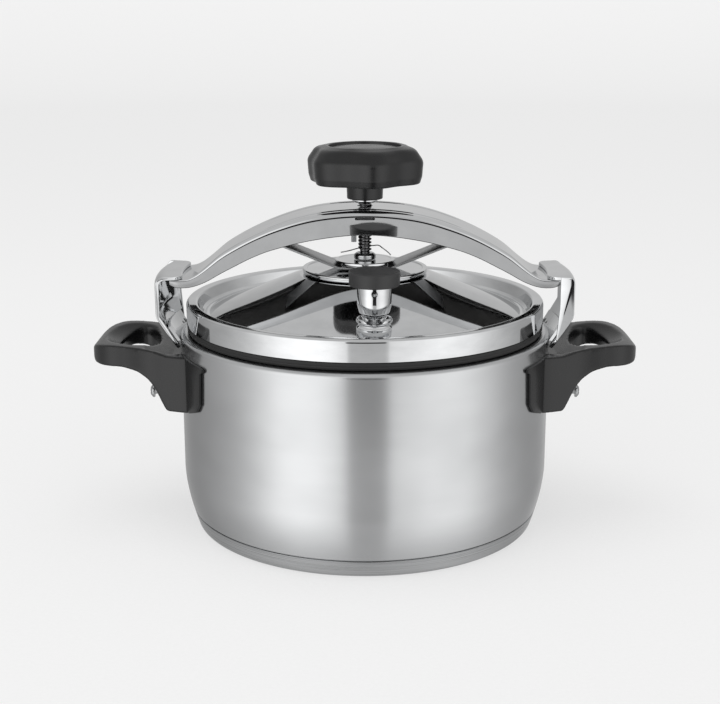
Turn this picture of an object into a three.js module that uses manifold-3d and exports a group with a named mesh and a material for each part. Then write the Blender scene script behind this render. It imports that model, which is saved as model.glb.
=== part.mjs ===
// Pressure canner with a bow clamp: pot, lid, bow, screw knob and weight valve.
// Millimetres, +Z up, origin at the centre of the underside.
// The two handles lie along X and the weight valve stands on the -Y side of the lid.
import * as THREE from 'three';
import Module from 'manifold-3d';
import { mergeVertices } from 'three/addons/utils/BufferGeometryUtils.js';

const wasm = await Module();
wasm.setup();

// Overall sizes
const innerRadius = 160;
const mouthRadius = innerRadius - 10;
const potHeight = 195;

// Sheet and clearances
const potSheet = 1;
const lidSheet = 1.2;
const gap = 0.3;
const turningGap = 0.6;
const roundSegments = 40;

// Pot
const potRadius = innerRadius + potSheet;
const baseCupHeight = 14.5;
const baseCupSheet = 0.8;
const baseCorner = 6;
const baseLean = 18;
const baseRise = 52;
const baseInset = 11;
const innerCorner = 9;
const coreThickness = 4.5;
const shoulderRadius = 10;
const neckHeight = 22.5;
const rimBead = 1.6;
const rimBeadHeight = 3;

// Lid
const skirtHeight = 18.3;
const lidLip = 3.5;
const lipWidth = 9;
const channelDepth = 8;
const coneRise = 33;
const coneFootRadius = mouthRadius - 13;
const coneTopRadius = 54;
const plateRadius = 55;
const plateThickness = 4.2;
const strapWidth = 32;
const strapThickness = 2;
const strapFlat = 22.4;
const strapBelowBow = 8;
const rivetRadius = 2.5;
const rivetSpacing = 14;
const rivetHead = 1.6;
const clampRadius = 26;
const clampThickness = 4.2;

// Bow
const bowRise = 58;
const bowEnd = potRadius + 5;
const bowWidth = 70;
const bowSheet = 2.2;
const bowEdge = 3.5;
const slotLength = 17;
const slotHeight = 2.4;
const slotDepth = 6.2;
const clawAngle = 13 * Math.PI / 180;
const lugAngle = 11 * Math.PI / 180;
const clawSheet = 3;
const clawInnerRadius = potRadius - 3;
const clawTipGap = 0.456;
const clawRadius = potRadius + 21;
const clawCorner = 9;
const clawLean = new THREE.Vector2(-0.53, -0.848);
const clawTipRadius = potRadius + clawTipGap - clawSheet * clawLean.y;
const clawTop = potHeight + 28.7;
const clawKnee = clawTop - 35.2;
const cheekInner = potRadius + 9;
const lugSheet = 2.4;
const lugGap = 0.5;
const lugReach = 20;

// Screw and knob
const screwRadius = 5.7;
const footRadius = 9.5;
const footHeight = 5.2;
const knobRadius = 51.5;
const knobLobes = 6;
const knobLobeDepth = 5.7;
const knobTurn = 18.6 * Math.PI / 180;
const knobHeight = 32.4;
const knobRise = 52;
const hubRadius = 15.8;
const hubHeight = 13.4;

// Weight valve
const ventAxis = new THREE.Vector2(7.5, 25 - coneFootRadius);
const weightRadius = 13.6;
const weightHeight = 27;
const weightCapRadius = 20.5;
const weightCapHeight = 11.4;
const ventPipeRadius = 4;

// Safety valve
const safetyAxis = new THREE.Vector2(0, coneFootRadius - 37);
const safetyRadius = 7;
const safetyNeck = 5.6;
const safetyPinRadius = 2;

// Handles
const handleReach = 79;
const handleTop = potHeight - 28.5;
const handleFoot = handleTop - 56;
const fingerHole = new THREE.Vector2(16.5, 35);
const fingerHoleCentre = potRadius + 37;
const saddleAngle = 34 * Math.PI / 180;
const handleScrewRadius = 3;
const handleScrewHeight = handleFoot + 2.5;
const bossRadius = 7.5;
const bossEnd = potRadius + 26;
const bracketSheet = 2;
const bracketLow = handleFoot - 4.5;
const bracketHigh = handleFoot + 35.5;

const steel = [0xc4c6c8, 0.3, 0.9];
const mirrorSteel = [0xd0d2d4, 0.15, 0.95];
const bakelite = [0x26262a, 0.5, 0];
const rubber = [0x141414, 0.8, 0];
const aluminium = [0xb8babc, 0.5, 0.8];

const part = new THREE.Group();
part.name = 'pressure_canner';

function addPart(name, geometry, finish, turn = 0) {
  const [color, roughness, metalness] = finish;
  const material = new THREE.MeshStandardMaterial({ color, roughness, metalness });
  const mesh = new THREE.Mesh(geometry, material);
  mesh.name = name;
  mesh.rotation.z = turn;
  part.add(mesh);
  return mesh;
}

function point(x, y) {
  return new THREE.Vector2(x, y);
}

function arcPoints(cx, cy, radius, fromDegrees, toDegrees, steps) {
  const points = [];
  for (let i = 0; i <= steps; i += 1) {
    const angle = THREE.MathUtils.degToRad(fromDegrees + (toDegrees - fromDegrees) * i / steps);
    points.push(point(cx + radius * Math.cos(angle), cy + radius * Math.sin(angle)));
  }
  return points;
}

// Shift an open line sideways by a distance, to its left when positive
function offsetLine(line, distance) {
  return line.map((here, i) => {
    const before = line[Math.max(i - 1, 0)];
    const after = line[Math.min(i + 1, line.length - 1)];
    const first = here.clone().sub(before).normalize();
    const second = after.clone().sub(here).normalize();
    const one = i === 0 ? second : first;
    const two = i === line.length - 1 ? first : second;
    const left = point(-one.y - two.y, one.x + two.x).normalize();
    const spread = Math.max(left.dot(point(-two.y, two.x)), 0.5);
    return here.clone().addScaledVector(left, distance / spread);
  });
}

// A sheet of even thickness along a line, as one closed outline
function sheetOutline(line, thickness, edge = []) {
  return [...line, ...edge, ...offsetLine(line, thickness).reverse()];
}

function signedVolume(geometry) {
  const position = geometry.attributes.position;
  const index = geometry.index;
  const corners = [new THREE.Vector3(), new THREE.Vector3(), new THREE.Vector3()];
  let total = 0;
  for (let i = 0; i < index.count; i += 3) {
    corners.forEach((corner, k) => corner.fromBufferAttribute(position, index.getX(i + k)));
    total += corners[0].dot(corners[1].clone().cross(corners[2])) / 6;
  }
  return total;
}

// Faces turned to point out of the solid
function facingOut(geometry) {
  if (signedVolume(geometry) < 0) {
    const order = geometry.index.array;
    for (let i = 0; i < order.length; i += 3) {
      [order[i + 1], order[i + 2]] = [order[i + 2], order[i + 1]];
    }
  }
  geometry.computeVertexNormals();
  return geometry;
}

// A closed (radius, height) outline turned a full circle about Z
function revolve(outline, segments = roundSegments) {
  const onAxis = outline[0].x === 0;
  const profile = onAxis ? outline : [...outline, outline[0].clone()];
  const geometry = new THREE.LatheGeometry(profile, segments);
  geometry.rotateX(Math.PI / 2);
  return facingOut(geometry);
}

function cylinder(radius, low, high, segments = 24) {
  return revolve([point(0, low), point(radius, low), point(radius, high), point(0, high)], segments);
}

function ring(inner, outer, low, high, segments = 24) {
  return revolve([point(inner, low), point(outer, low), point(outer, high), point(inner, high)],
    segments);
}

function meshFrom(positions, faces) {
  const geometry = new THREE.BufferGeometry();
  geometry.setAttribute('position', new THREE.Float32BufferAttribute(positions, 3));
  geometry.setIndex(faces);
  return facingOut(geometry);
}

// Closed outlines of equal length joined in order, with both ends capped
function loft(sections, flatEnd) {
  const count = sections[0].length;
  const positions = sections.flat().flatMap((p) => [p.x, p.y, p.z]);
  const faces = [];
  for (let s = 0; s < sections.length - 1; s += 1) {
    for (let i = 0; i < count; i += 1) {
      const j = (i + 1) % count;
      const a = s * count + i;
      const b = s * count + j;
      faces.push(a, b, b + count, a, b + count, a + count);
    }
  }
  const last = (sections.length - 1) * count;
  const flip = THREE.ShapeUtils.isClockWise(flatEnd);
  THREE.ShapeUtils.triangulateShape(flatEnd, []).forEach(([a, b, c]) => {
    const [first, third] = flip ? [c, a] : [a, c];
    faces.push(third, b, first, last + first, last + b, last + third);
  });
  return meshFrom(positions, faces);
}

// A closed (radius, height) outline turned part of a circle, centred on +X
function sector(outline, halfAngle, steps) {
  const sections = [];
  for (let s = 0; s <= steps; s += 1) {
    const angle = halfAngle * (2 * s / steps - 1);
    sections.push(outline.map((p) => (
      new THREE.Vector3(p.x * Math.cos(angle), p.x * Math.sin(angle), p.y))));
  }
  return loft(sections, outline);
}

function extrudeUp(shape, low, high, curveSegments = 12) {
  const geometry = new THREE.ExtrudeGeometry(shape, {
    depth: high - low,
    bevelEnabled: false,
    curveSegments,
  });
  geometry.translate(0, 0, low);
  return geometry;
}

// An (x, z) outline given a width along Y, centred on y = 0
function extrudeAcross(outline, width) {
  const geometry = new THREE.ExtrudeGeometry(new THREE.Shape(outline), {
    depth: width,
    bevelEnabled: false,
  });
  geometry.rotateX(Math.PI / 2);
  geometry.translate(0, width / 2, 0);
  return geometry;
}

function toManifold(geometry) {
  const plain = geometry.clone();
  plain.deleteAttribute('normal');
  plain.deleteAttribute('uv');
  const merged = mergeVertices(plain, 1e-4);
  return new wasm.Manifold(new wasm.Mesh({
    numProp: 3,
    vertProperties: new Float32Array(merged.attributes.position.array),
    triVerts: new Uint32Array(merged.index.array),
  }));
}

function fromManifold(solid) {
  const mesh = solid.getMesh();
  return meshFrom(Array.from(mesh.vertProperties), Array.from(mesh.triVerts));
}

function cut(geometry, tools) {
  const solid = tools.reduce((left, tool) => left.subtract(toManifold(tool)), toManifold(geometry));
  return fromManifold(solid);
}

function moved(geometry, x, y, z = 0) {
  return geometry.clone().translate(x, y, z);
}

function hexNut(bore, corner, low, high) {
  return cut(cylinder(corner, low, high, 6), [cylinder(bore, low - 1, high + 1)]);
}

// Base: outer cup, heat-spreading core and the pot standing on it.
// Below baseRise the wall curves in, and it leans out by baseLean degrees at the cup's corner.
function wallRadiusAt(height) {
  const share = Math.max(baseRise - height, 0) / baseRise;
  return potRadius - baseInset * share ** 1.7;
}

const leanCosine = Math.cos(baseLean * Math.PI / 180);
const leanSine = Math.sin(baseLean * Math.PI / 180);
const cornerTop = baseCorner * (1 - leanSine);
const cornerCentre = wallRadiusAt(cornerTop) - baseCorner * leanCosine;
const cupMiddle = (cornerTop + baseCupHeight) / 2;
const cupLine = [
  point(0, 0),
  ...arcPoints(cornerCentre, baseCorner, baseCorner, -90, -baseLean, 3),
  point(wallRadiusAt(cupMiddle), cupMiddle),
  point(wallRadiusAt(baseCupHeight), baseCupHeight),
];
addPart('base_cup', revolve(sheetOutline(cupLine, baseCupSheet)), steel);

const coreLow = baseCupSheet + 0.2;
const coreHigh = coreLow + coreThickness;
addPart('base_core', cylinder(cornerCentre - 2, coreLow, coreHigh, roundSegments), aluminium);

const potFloor = coreHigh + gap;
const seatInset = (baseCupSheet + gap) / leanCosine;
const seatCornerTop = potFloor + innerCorner * (1 - leanSine);
const seatCornerCentre = wallRadiusAt(seatCornerTop) - seatInset - innerCorner * leanCosine;
const seatTop = baseCupHeight + gap;
const wallLow = baseCupHeight + 1.6;
const wallHeights = [0, 0.22, 0.46, 0.72, 1].map((share) => wallLow + share * (baseRise - wallLow));
const shoulderLow = potHeight - neckHeight - shoulderRadius;
const neckRadius = mouthRadius + potSheet;
const beadLow = potHeight - rimBeadHeight;
const potLine = [
  point(0, potFloor),
  ...arcPoints(seatCornerCentre, potFloor + innerCorner, innerCorner, -90, -baseLean, 3),
  point(wallRadiusAt(seatTop) - seatInset, seatTop),
  ...wallHeights.map((height) => point(wallRadiusAt(height), height)),
  ...arcPoints(potRadius - shoulderRadius, shoulderLow, shoulderRadius, 0, 90, 4),
  point(neckRadius, beadLow),
];
const rimEdge = [
  point(neckRadius + rimBead, beadLow + 0.8),
  point(neckRadius + rimBead, potHeight - 0.8),
  point(neckRadius + 0.6, potHeight),
  point(mouthRadius, potHeight),
];
const potOutline = sheetOutline(potLine, potSheet, rimEdge);
addPart('pot_shell', revolve(potOutline), steel);

// Lid: skirt, lip, channel wall, cone and flat crown, in one sheet
const skirtRadius = neckRadius + rimBead + turningGap + 0.8 + gap + lidSheet;
const lipTop = potHeight + lidLip;
const lipInner = skirtRadius - lipWidth - 1.8;
const channelFloor = potHeight - channelDepth;
const crownTop = channelFloor + 1 + coneRise;
const lidLine = [
  point(skirtRadius, lipTop - skirtHeight),
  point(skirtRadius, lipTop - 2.4),
  point(skirtRadius - 2.4, lipTop),
  point(lipInner + 2.2, lipTop),
  point(lipInner + 0.6, lipTop - 0.8),
  point(lipInner, lipTop - 2.4),
  point(lipInner - 1, channelFloor + 3),
  point(coneFootRadius + 3, channelFloor),
  point(coneFootRadius, channelFloor + 0.5),
  point(coneTopRadius + 4, crownTop - 0.9),
  point(coneTopRadius, crownTop),
  point(0, crownTop),
];
const lidSolid = revolve(sheetOutline(lidLine.reverse(), -lidSheet));
const ventBore = moved(cylinder(ventPipeRadius + 1 + gap, channelFloor - 9, crownTop), ventAxis.x,
  ventAxis.y);
const safetyBore = moved(cylinder(safetyNeck + gap, channelFloor - 9, crownTop),
  safetyAxis.x, safetyAxis.y);
const rivetBores = [-1, 1].map((side) => (
  moved(cylinder(rivetRadius + gap, channelFloor, crownTop + 20, 16), side * rivetSpacing, 0)));
addPart('lid_shell', cut(lidSolid, [ventBore, safetyBore, ...rivetBores]), mirrorSteel);

// Gasket: hangs over the rim inside the lid's channel, its bead below the skirt
const gasketInner = mouthRadius - 2.4;
const sealIn = neckRadius + rimBead + turningGap;
const skirtLow = lipTop - skirtHeight;
const gasketTop = lipTop - lidSheet - gap;
addPart('gasket', revolve([
  point(gasketInner, gasketTop - 7),
  point(mouthRadius - 0.8, gasketTop - 7),
  point(mouthRadius - 0.8, potHeight + 0.4),
  point(sealIn, potHeight + 0.4),
  point(sealIn, skirtLow - 0.6),
  point(neckRadius + 1.2, skirtLow - 0.8),
  point(neckRadius + 1.2, skirtLow - 5.8),
  point(skirtRadius - 1, skirtLow - 5.8),
  point(skirtRadius - 0.2, skirtLow - 5),
  point(skirtRadius - 0.2, skirtLow - 0.6),
  point(sealIn + 0.8, skirtLow - 0.4),
  point(sealIn + 0.8, gasketTop - 1.6),
  point(skirtRadius - 3.4, gasketTop),
  point(gasketInner, gasketTop),
]), rubber);

// Bow line: height above the claws along X, as shares of the half span and of the full drop
const bowHeight = crownTop + bowRise;
const clawUnder = clawTop - clawSheet;
const bowFoot = clawUnder - gap;
const bowTopLine = [
  [0, 0], [0.12, 0.012], [0.253, 0.053], [0.361, 0.142], [0.464, 0.242], [0.566, 0.362],
  [0.657, 0.491], [0.741, 0.64], [0.816, 0.819], [0.861, 0.918], [0.898, 0.976], [0.922, 0.993],
].map(([x, drop]) => point(x * bowEnd, bowHeight - drop * (bowHeight - bowFoot)));
const bowEdgeDepth = [
  [0, 20.5], [0.253, 21], [0.404, 20], [0.512, 18.5], [0.59, 18], [0.681, 17.5], [0.75, 16],
  [0.807, 13.3], [0.861, 10], [0.904, 8], [0.964, 7.2], [1, 6],
].map(([x, depth]) => point(x * bowEnd, depth));

function heightAt(line, x) {
  const i = Math.min(Math.max(line.findIndex((p) => p.x >= x), 1), line.length - 1);
  const t = (x - line[i - 1].x) / (line[i].x - line[i - 1].x);
  return line[i - 1].y + (line[i].y - line[i - 1].y) * t;
}

// Crown plate, strap and clamp disc stacked on the lid
const plateLow = crownTop + gap;
const plateTop = plateLow + plateThickness;
const plateSolid = revolve([
  point(0, plateLow),
  point(plateRadius - 1.5, plateLow),
  point(plateRadius - 0.4, plateLow + 0.9),
  point(plateRadius, plateLow + 2.1),
  point(plateRadius - 0.8, plateTop - 0.5),
  point(plateRadius - 2.4, plateTop),
  point(0, plateTop),
], 36);
addPart('centre_plate', cut(plateSolid, rivetBores), steel);

const strapLow = plateTop + gap;
const strapEnd = bowEnd * 0.53;
const strapEndHeight = heightAt(bowTopLine, strapEnd) - strapBelowBow;
const strapLine = [
  point(-strapEnd, strapEndHeight),
  point(-strapFlat, strapLow),
  point(strapFlat, strapLow),
  point(strapEnd, strapEndHeight),
];
const strapSolid = extrudeAcross(sheetOutline(strapLine, strapThickness), strapWidth);
const strapTools = [-1, 1].map((side) => (
  moved(cylinder(rivetRadius + gap, strapLow - 5, strapLow + 20, 16), side * rivetSpacing, 0)));
addPart('brace_strap', cut(strapSolid, strapTools), steel);

const strapTop = strapLow + strapThickness;
['left', 'right'].forEach((side, i) => {
  const x = rivetSpacing * (2 * i - 1);
  const rivet = revolve([
    point(0, crownTop - lidSheet - gap - rivetHead),
    point(rivetRadius + 1.5, crownTop - lidSheet - gap - rivetHead),
    point(rivetRadius + 1.5, crownTop - lidSheet - gap),
    point(rivetRadius, crownTop - lidSheet - gap),
    point(rivetRadius, strapTop + gap),
    point(rivetRadius + 1.5, strapTop + gap),
    point(rivetRadius + 1.5, strapTop + gap + 0.6),
    point(0, strapTop + gap + rivetHead),
  ], 16);
  addPart(`strap_rivet_${side}`, moved(rivet, x, 0), steel);
});

const clampLow = strapTop + gap + rivetHead + gap;
const clampTop = clampLow + clampThickness - 1.6;
addPart('clamp_disc', revolve([
  point(0, clampLow),
  point(clampRadius - 0.8, clampLow),
  point(clampRadius, clampLow + 0.8),
  point(clampRadius, clampTop - 0.8),
  point(clampRadius - 0.8, clampTop),
  point(0, clampTop),
], 32), mirrorSteel);

// Clip wire behind the screw
const wireRadius = 0.6;
const wirePath = new THREE.CatmullRomCurve3([
  new THREE.Vector3(-24, 14, clampTop + 1.8),
  new THREE.Vector3(-9, 14.5, clampTop + 2.6),
  new THREE.Vector3(0, 15, clampTop + 4.6),
  new THREE.Vector3(6, 15, clampTop + 6.2),
  new THREE.Vector3(20, 14, clampTop + 1),
]);
function roundShape(radius, steps) {
  return new THREE.Shape(arcPoints(0, 0, radius, 0, 360 - 360 / steps, steps - 1));
}
addPart('clip_wire', facingOut(mergeVertices(new THREE.ExtrudeGeometry(roundShape(wireRadius, 6), {
  steps: 20,
  extrudePath: wirePath,
}))), steel);

// Bow: an inverted channel along X whose edges grow shallow towards its ends
const bowCurve = new THREE.SplineCurve([
  ...bowTopLine.slice(1).reverse().map((p) => point(-p.x, p.y)),
  ...bowTopLine,
]);
const bowEnds = [bowEnd, clawInnerRadius].map((x) => point(x, bowFoot));
const bowStations = [
  ...bowEnds.map((p) => point(-p.x, p.y)),
  ...bowCurve.getPoints(34),
  ...bowEnds.slice().reverse(),
];
const bowSections = bowStations.map((station, i) => {
  const next = bowStations[Math.min(i + 1, bowStations.length - 1)];
  const last = bowStations[Math.max(i - 1, 0)];
  const slope = next.clone().sub(last).normalize();
  const sheet = bowSheet / Math.abs(slope.x);
  const depth = heightAt(bowEdgeDepth, Math.abs(station.x));
  const half = bowWidth / 2;
  const right = [
    [half - bowEdge, 0], [half - 1, -1.1], [half, -bowEdge], [half, -depth],
    [half - bowSheet, -depth], [half - bowSheet, -bowEdge - 0.6], [half - bowEdge - 0.6, -sheet],
  ];
  const left = right.map(([y, z]) => [-y, z]).reverse();
  return [...right, ...left].map(([y, z]) => new THREE.Vector3(station.x, y, station.y + z));
});
const bowFlat = bowSections[0].map((p) => point(p.y, p.z));
const screwBore = cylinder(screwRadius + 0.8, strapTop, bowHeight + 2);
const slot = new THREE.BoxGeometry(slotLength, 10, slotHeight);
slot.translate(0, -bowWidth / 2, bowHeight - slotDepth);
addPart('bow_arch', cut(loft(bowSections, bowFlat), [screwBore, slot]), mirrorSteel);

// Claws: curved hooks under the bow's ends that grip the lugs from below, each with one side cheek
const kneePoint = point(clawRadius, clawKnee);
const tipTravel = (clawTipRadius - clawRadius) / clawLean.x;
const tipPoint = kneePoint.clone().addScaledVector(clawLean, tipTravel);
const clawLine = [
  tipPoint,
  point(clawRadius - 1.2, clawKnee - 1.9),
  point(clawRadius, clawKnee + 2),
  ...arcPoints(clawRadius - clawCorner, clawTop - clawCorner, clawCorner, 0, 90, 5),
  point(clawInnerRadius, clawTop),
];
const kneeInside = point(clawRadius - clawSheet / 2, clawKnee + 0.5);
const cheekOutline = [
  ...arcPoints(clawRadius - clawCorner, clawTop - clawCorner, clawCorner - clawSheet + 0.5, 0, 90, 4),
  point(cheekInner, clawUnder + 0.5),
  point(cheekInner, clawKnee + 8),
  kneeInside.clone().addScaledVector(clawLean, 21.2),
  kneeInside,
];
const cheekHalfAngle = clawSheet / clawRadius / 2;
const clawBody = toManifold(sector(sheetOutline(clawLine, clawSheet), clawAngle, 8));
const cheek = sector(cheekOutline, cheekHalfAngle, 1).rotateZ(cheekHalfAngle - clawAngle);
const clawGeometry = fromManifold(clawBody.add(toManifold(cheek)));

// Lugs: lips welded to the pot wall that lean outwards over the claws
const lugLean = point(-clawLean.x, -clawLean.y);
const lugInward = point(clawLean.y, -clawLean.x);
const lugStart = tipPoint.clone().addScaledVector(lugInward, clawSheet + lugGap);
const lugEnd = lugStart.clone().addScaledVector(lugLean, lugReach);
const lugRoot = potRadius + gap;
const lugUnderside = (x) => lugStart.y + (x - lugStart.x) * lugLean.y / lugLean.x;
const lugGeometry = sector([
  point(lugRoot, lugUnderside(lugRoot)),
  lugEnd,
  lugEnd.clone().addScaledVector(lugInward, lugSheet),
  point(lugRoot, lugUnderside(lugRoot) + lugSheet / lugLean.x),
], lugAngle, 10);

// Handle brackets: curved plates welded to the wall behind the handles
const bracketOuter = potRadius + gap + bracketSheet;
const bracketGeometry = sector([
  point(potRadius + gap, bracketLow), point(bracketOuter, bracketLow),
  point(bracketOuter, bracketHigh), point(potRadius + gap, bracketHigh),
], lugAngle, 10);

// Handles: a plan shape with a finger hole, cut to a side shape, plus a saddle on the pot wall
const planHalf = [
  [-4, 60], [9, 56], [24, 50], [44, 49], [61, 45], [72, 35], [77.5, 20], [handleReach, 0],
].map(([x, y]) => point(potRadius + x, y));
const planCurve = new THREE.SplineCurve([
  ...planHalf.slice(0, -1).map((p) => point(p.x, -p.y)),
  ...planHalf.slice().reverse(),
]);
const planShape = new THREE.Shape(planCurve.getPoints(28));
const holePath = new THREE.Path();
holePath.absellipse(fingerHoleCentre, 0, fingerHole.x, fingerHole.y, 0, 2 * Math.PI);
planShape.holes.push(holePath);
const sideOutline = [
  [-11, 15], [5.5, 14], [9, 11], [22, 5.5], [39, 1.8], [58, 0], [70, 2], [77, 6.5], [80, 12],
  [77, 17], [71, 19.5], [57, 19], [47, 18.3], [35, 21.5], [26, 27.5], [18.5, 36.1], [12, 48.5],
  [8.5, 55], [-11, 56],
].map(([x, drop]) => point(potRadius + x, handleTop - drop));
const planSolid = toManifold(extrudeUp(planShape, handleFoot - 5, handleTop + 5, 16));
const sideSolid = toManifold(extrudeAcross(sideOutline, 140));
const saddleLow = handleFoot + 3.5;
const saddleHigh = handleTop - 8.5;
const saddleOutline = [
  point(potRadius - 3, saddleLow), point(potRadius + 4, saddleLow),
  point(potRadius + 4, saddleHigh - 1), point(potRadius + 2.6, saddleHigh),
  point(potRadius - 3, saddleHigh),
];
const saddle = toManifold(sector(saddleOutline, saddleAngle, 18));
const potClear = cylinder(potRadius + gap, handleFoot - 10, handleTop + 4, 128);
const bracketRecess = sector([
  point(potRadius - 2, bracketLow - 6), point(bracketOuter + gap, bracketLow - 6),
  point(bracketOuter + gap, bracketHigh + 1), point(potRadius - 2, bracketHigh + 1),
], lugAngle + 0.004, 10);

function rodAlongX(radius, from, to, height, segments = 20) {
  const rod = new THREE.CylinderGeometry(radius, radius, to - from, segments);
  rod.rotateZ(Math.PI / 2);
  return rod.translate((from + to) / 2, 0, height);
}
const boss = rodAlongX(bossRadius, potRadius + 4, bossEnd, handleScrewHeight, 24);
const bossBore = rodAlongX(handleScrewRadius + gap, potRadius - 5, bossEnd + 5, handleScrewHeight);
const handleBlank = planSolid.intersect(sideSolid).add(saddle).add(toManifold(boss));
const handleGeometry = fromManifold([potClear, bracketRecess, bossBore].reduce(
  (left, tool) => left.subtract(toManifold(tool)),
  handleBlank,
));

// Handle screw: from the boss end through to the bracket
const screwStart = bracketOuter + gap;
const headLow = bossEnd + gap - screwStart;
const handleScrew = revolve([
  point(0, 0), point(handleScrewRadius, 0), point(handleScrewRadius, headLow),
  point(6, headLow), point(6, headLow + 2.2), point(4.6, headLow + 3.6), point(0, headLow + 3.6),
], 20);
handleScrew.rotateY(Math.PI / 2);
handleScrew.translate(screwStart, 0, handleScrewHeight);

['right', 'left'].forEach((side, i) => {
  const turn = i * Math.PI;
  addPart(`claw_${side}`, clawGeometry.clone(), mirrorSteel, turn);
  addPart(`lug_${side}`, lugGeometry.clone(), steel, turn);
  addPart(`handle_bracket_${side}`, bracketGeometry.clone(), steel, turn);
  addPart(`handle_${side}`, handleGeometry.clone(), bakelite, turn);
  addPart(`handle_screw_${side}`, handleScrew.clone(), steel, turn);
});

// Screw nut under the bow, with a locking tab on its left
const nutTop = bowHeight - bowSheet - gap - 0.6;
const nutThickness = 12;
const nutSolid = toManifold(cylinder(screwRadius + 7.3, nutTop - nutThickness, nutTop, 6));
const tabDrop = nutThickness + 16;
const tabSolid = new THREE.BoxGeometry(4.6, 10, tabDrop);
tabSolid.translate(-screwRadius - 3.8, 0, nutTop - tabDrop / 2);
const nutBore = cylinder(screwRadius + 0.4, nutTop - nutThickness - 20, nutTop + 1);
addPart('bow_nut', cut(fromManifold(nutSolid.add(toManifold(tabSolid))), [nutBore]), steel);

// Swivel foot, screw spindle and knob
const footLow = clampTop + gap;
const footTop = footLow + footHeight;
const ballRadius = screwRadius - 1.7;
const spindleLow = footLow + 1.6;
addPart('screw_foot', revolve([
  point(0, footLow), point(footRadius - 0.6, footLow), point(footRadius, footLow + 0.6),
  point(footRadius, footTop - 1.4), point(footRadius - 1.4, footTop), point(ballRadius + 0.5, footTop),
  point(ballRadius + 0.5, spindleLow - gap), point(0, spindleLow - gap),
], 28), steel);

const totalHeight = bowHeight + knobRise;
const knobLow = totalHeight - knobHeight;
const hubLow = knobLow - hubHeight;
const spindleTop = totalHeight - 12;
addPart('screw_spindle', revolve([
  point(0, spindleLow), point(ballRadius - 0.6, spindleLow), point(ballRadius, spindleLow + 0.6),
  point(ballRadius, footTop + 0.8), point(screwRadius, footTop + 2), point(screwRadius, hubLow - 3),
  point(screwRadius - 1.2, hubLow - 1.8), point(screwRadius - 1.2, spindleTop - 0.8),
  point(screwRadius - 2, spindleTop), point(0, spindleTop),
], 24), steel);

const collarRadius = 11;
addPart('knob_collar', revolve([
  point(screwRadius - 1.2 + gap, hubLow - gap - 2.6 + 1.4),
  point(screwRadius + gap + 0.4, hubLow - gap - 2.6),
  point(collarRadius - 0.8, hubLow - gap - 2.6), point(collarRadius, hubLow - gap - 1.8),
  point(collarRadius, hubLow - gap), point(screwRadius - 1.2 + gap, hubLow - gap),
], 24), mirrorSteel);

// Lobed knob in level rings, widest below its rounded shoulder
const recessRadius = 31;
const recessDepth = 1.6;
function lobeRing(radius, height, lobeShare, steps = 40) {
  const points = [];
  for (let i = 0; i < steps; i += 1) {
    const angle = 2 * Math.PI * i / steps;
    const wave = Math.cos(knobLobes * (angle + knobTurn));
    const reach = radius - knobLobeDepth * lobeShare * (1 - wave) / 2;
    points.push(new THREE.Vector3(reach * Math.cos(angle), reach * Math.sin(angle), height));
  }
  return points;
}
const knobRings = [
  lobeRing(hubRadius, hubLow, 0), lobeRing(hubRadius, knobLow - 0.4, 0),
  lobeRing(knobRadius - 5, knobLow + 0.2, 1), lobeRing(knobRadius - 1, knobLow + 2.2, 1),
  lobeRing(knobRadius, knobLow + 7, 1), lobeRing(knobRadius, knobLow + 19.4, 1),
  lobeRing(knobRadius - 2, knobLow + 24.4, 0.9), lobeRing(knobRadius - 6.5, knobLow + 28.4, 0.6),
  lobeRing(knobRadius - 12, knobLow + 30.8, 0.3), lobeRing(recessRadius + 1, totalHeight, 0),
];
const knobFlat = knobRings[0].map((p) => point(p.x, p.y));
const knobBlank = loft(knobRings, knobFlat);
const knobBore = cylinder(screwRadius - 1.2 + gap, hubLow - 1, spindleTop + gap, 24);
const knobRecess = cylinder(recessRadius, totalHeight - recessDepth - 1.2, totalHeight + 1, 40);
addPart('knob', cut(knobBlank, [knobBore, knobRecess]), bakelite);
addPart('knob_disc', cylinder(recessRadius - gap, totalHeight - recessDepth - 1.2 + gap,
  totalHeight - recessDepth, 40), bakelite);

// Weight valve: seat cup, vent pipe, nut and washer in the lid, weight and cap on top
const seatRadiusOuter = 16.2;
const coneSlope = (crownTop - 0.9 - channelFloor - 0.5) / (coneTopRadius + 4 - coneFootRadius);
const coneTilt = Math.atan(coneSlope);
const coneHeightAt = (x, y, above) => channelFloor + 0.5 + above / Math.cos(coneTilt)
  + (Math.hypot(x, y) - coneFootRadius) * coneSlope;
const ventGround = coneHeightAt(ventAxis.x, ventAxis.y, 0);
const ventSeatLow = ventGround + 3.5;
const ventSeatTop = ventGround + 10.9;

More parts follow.
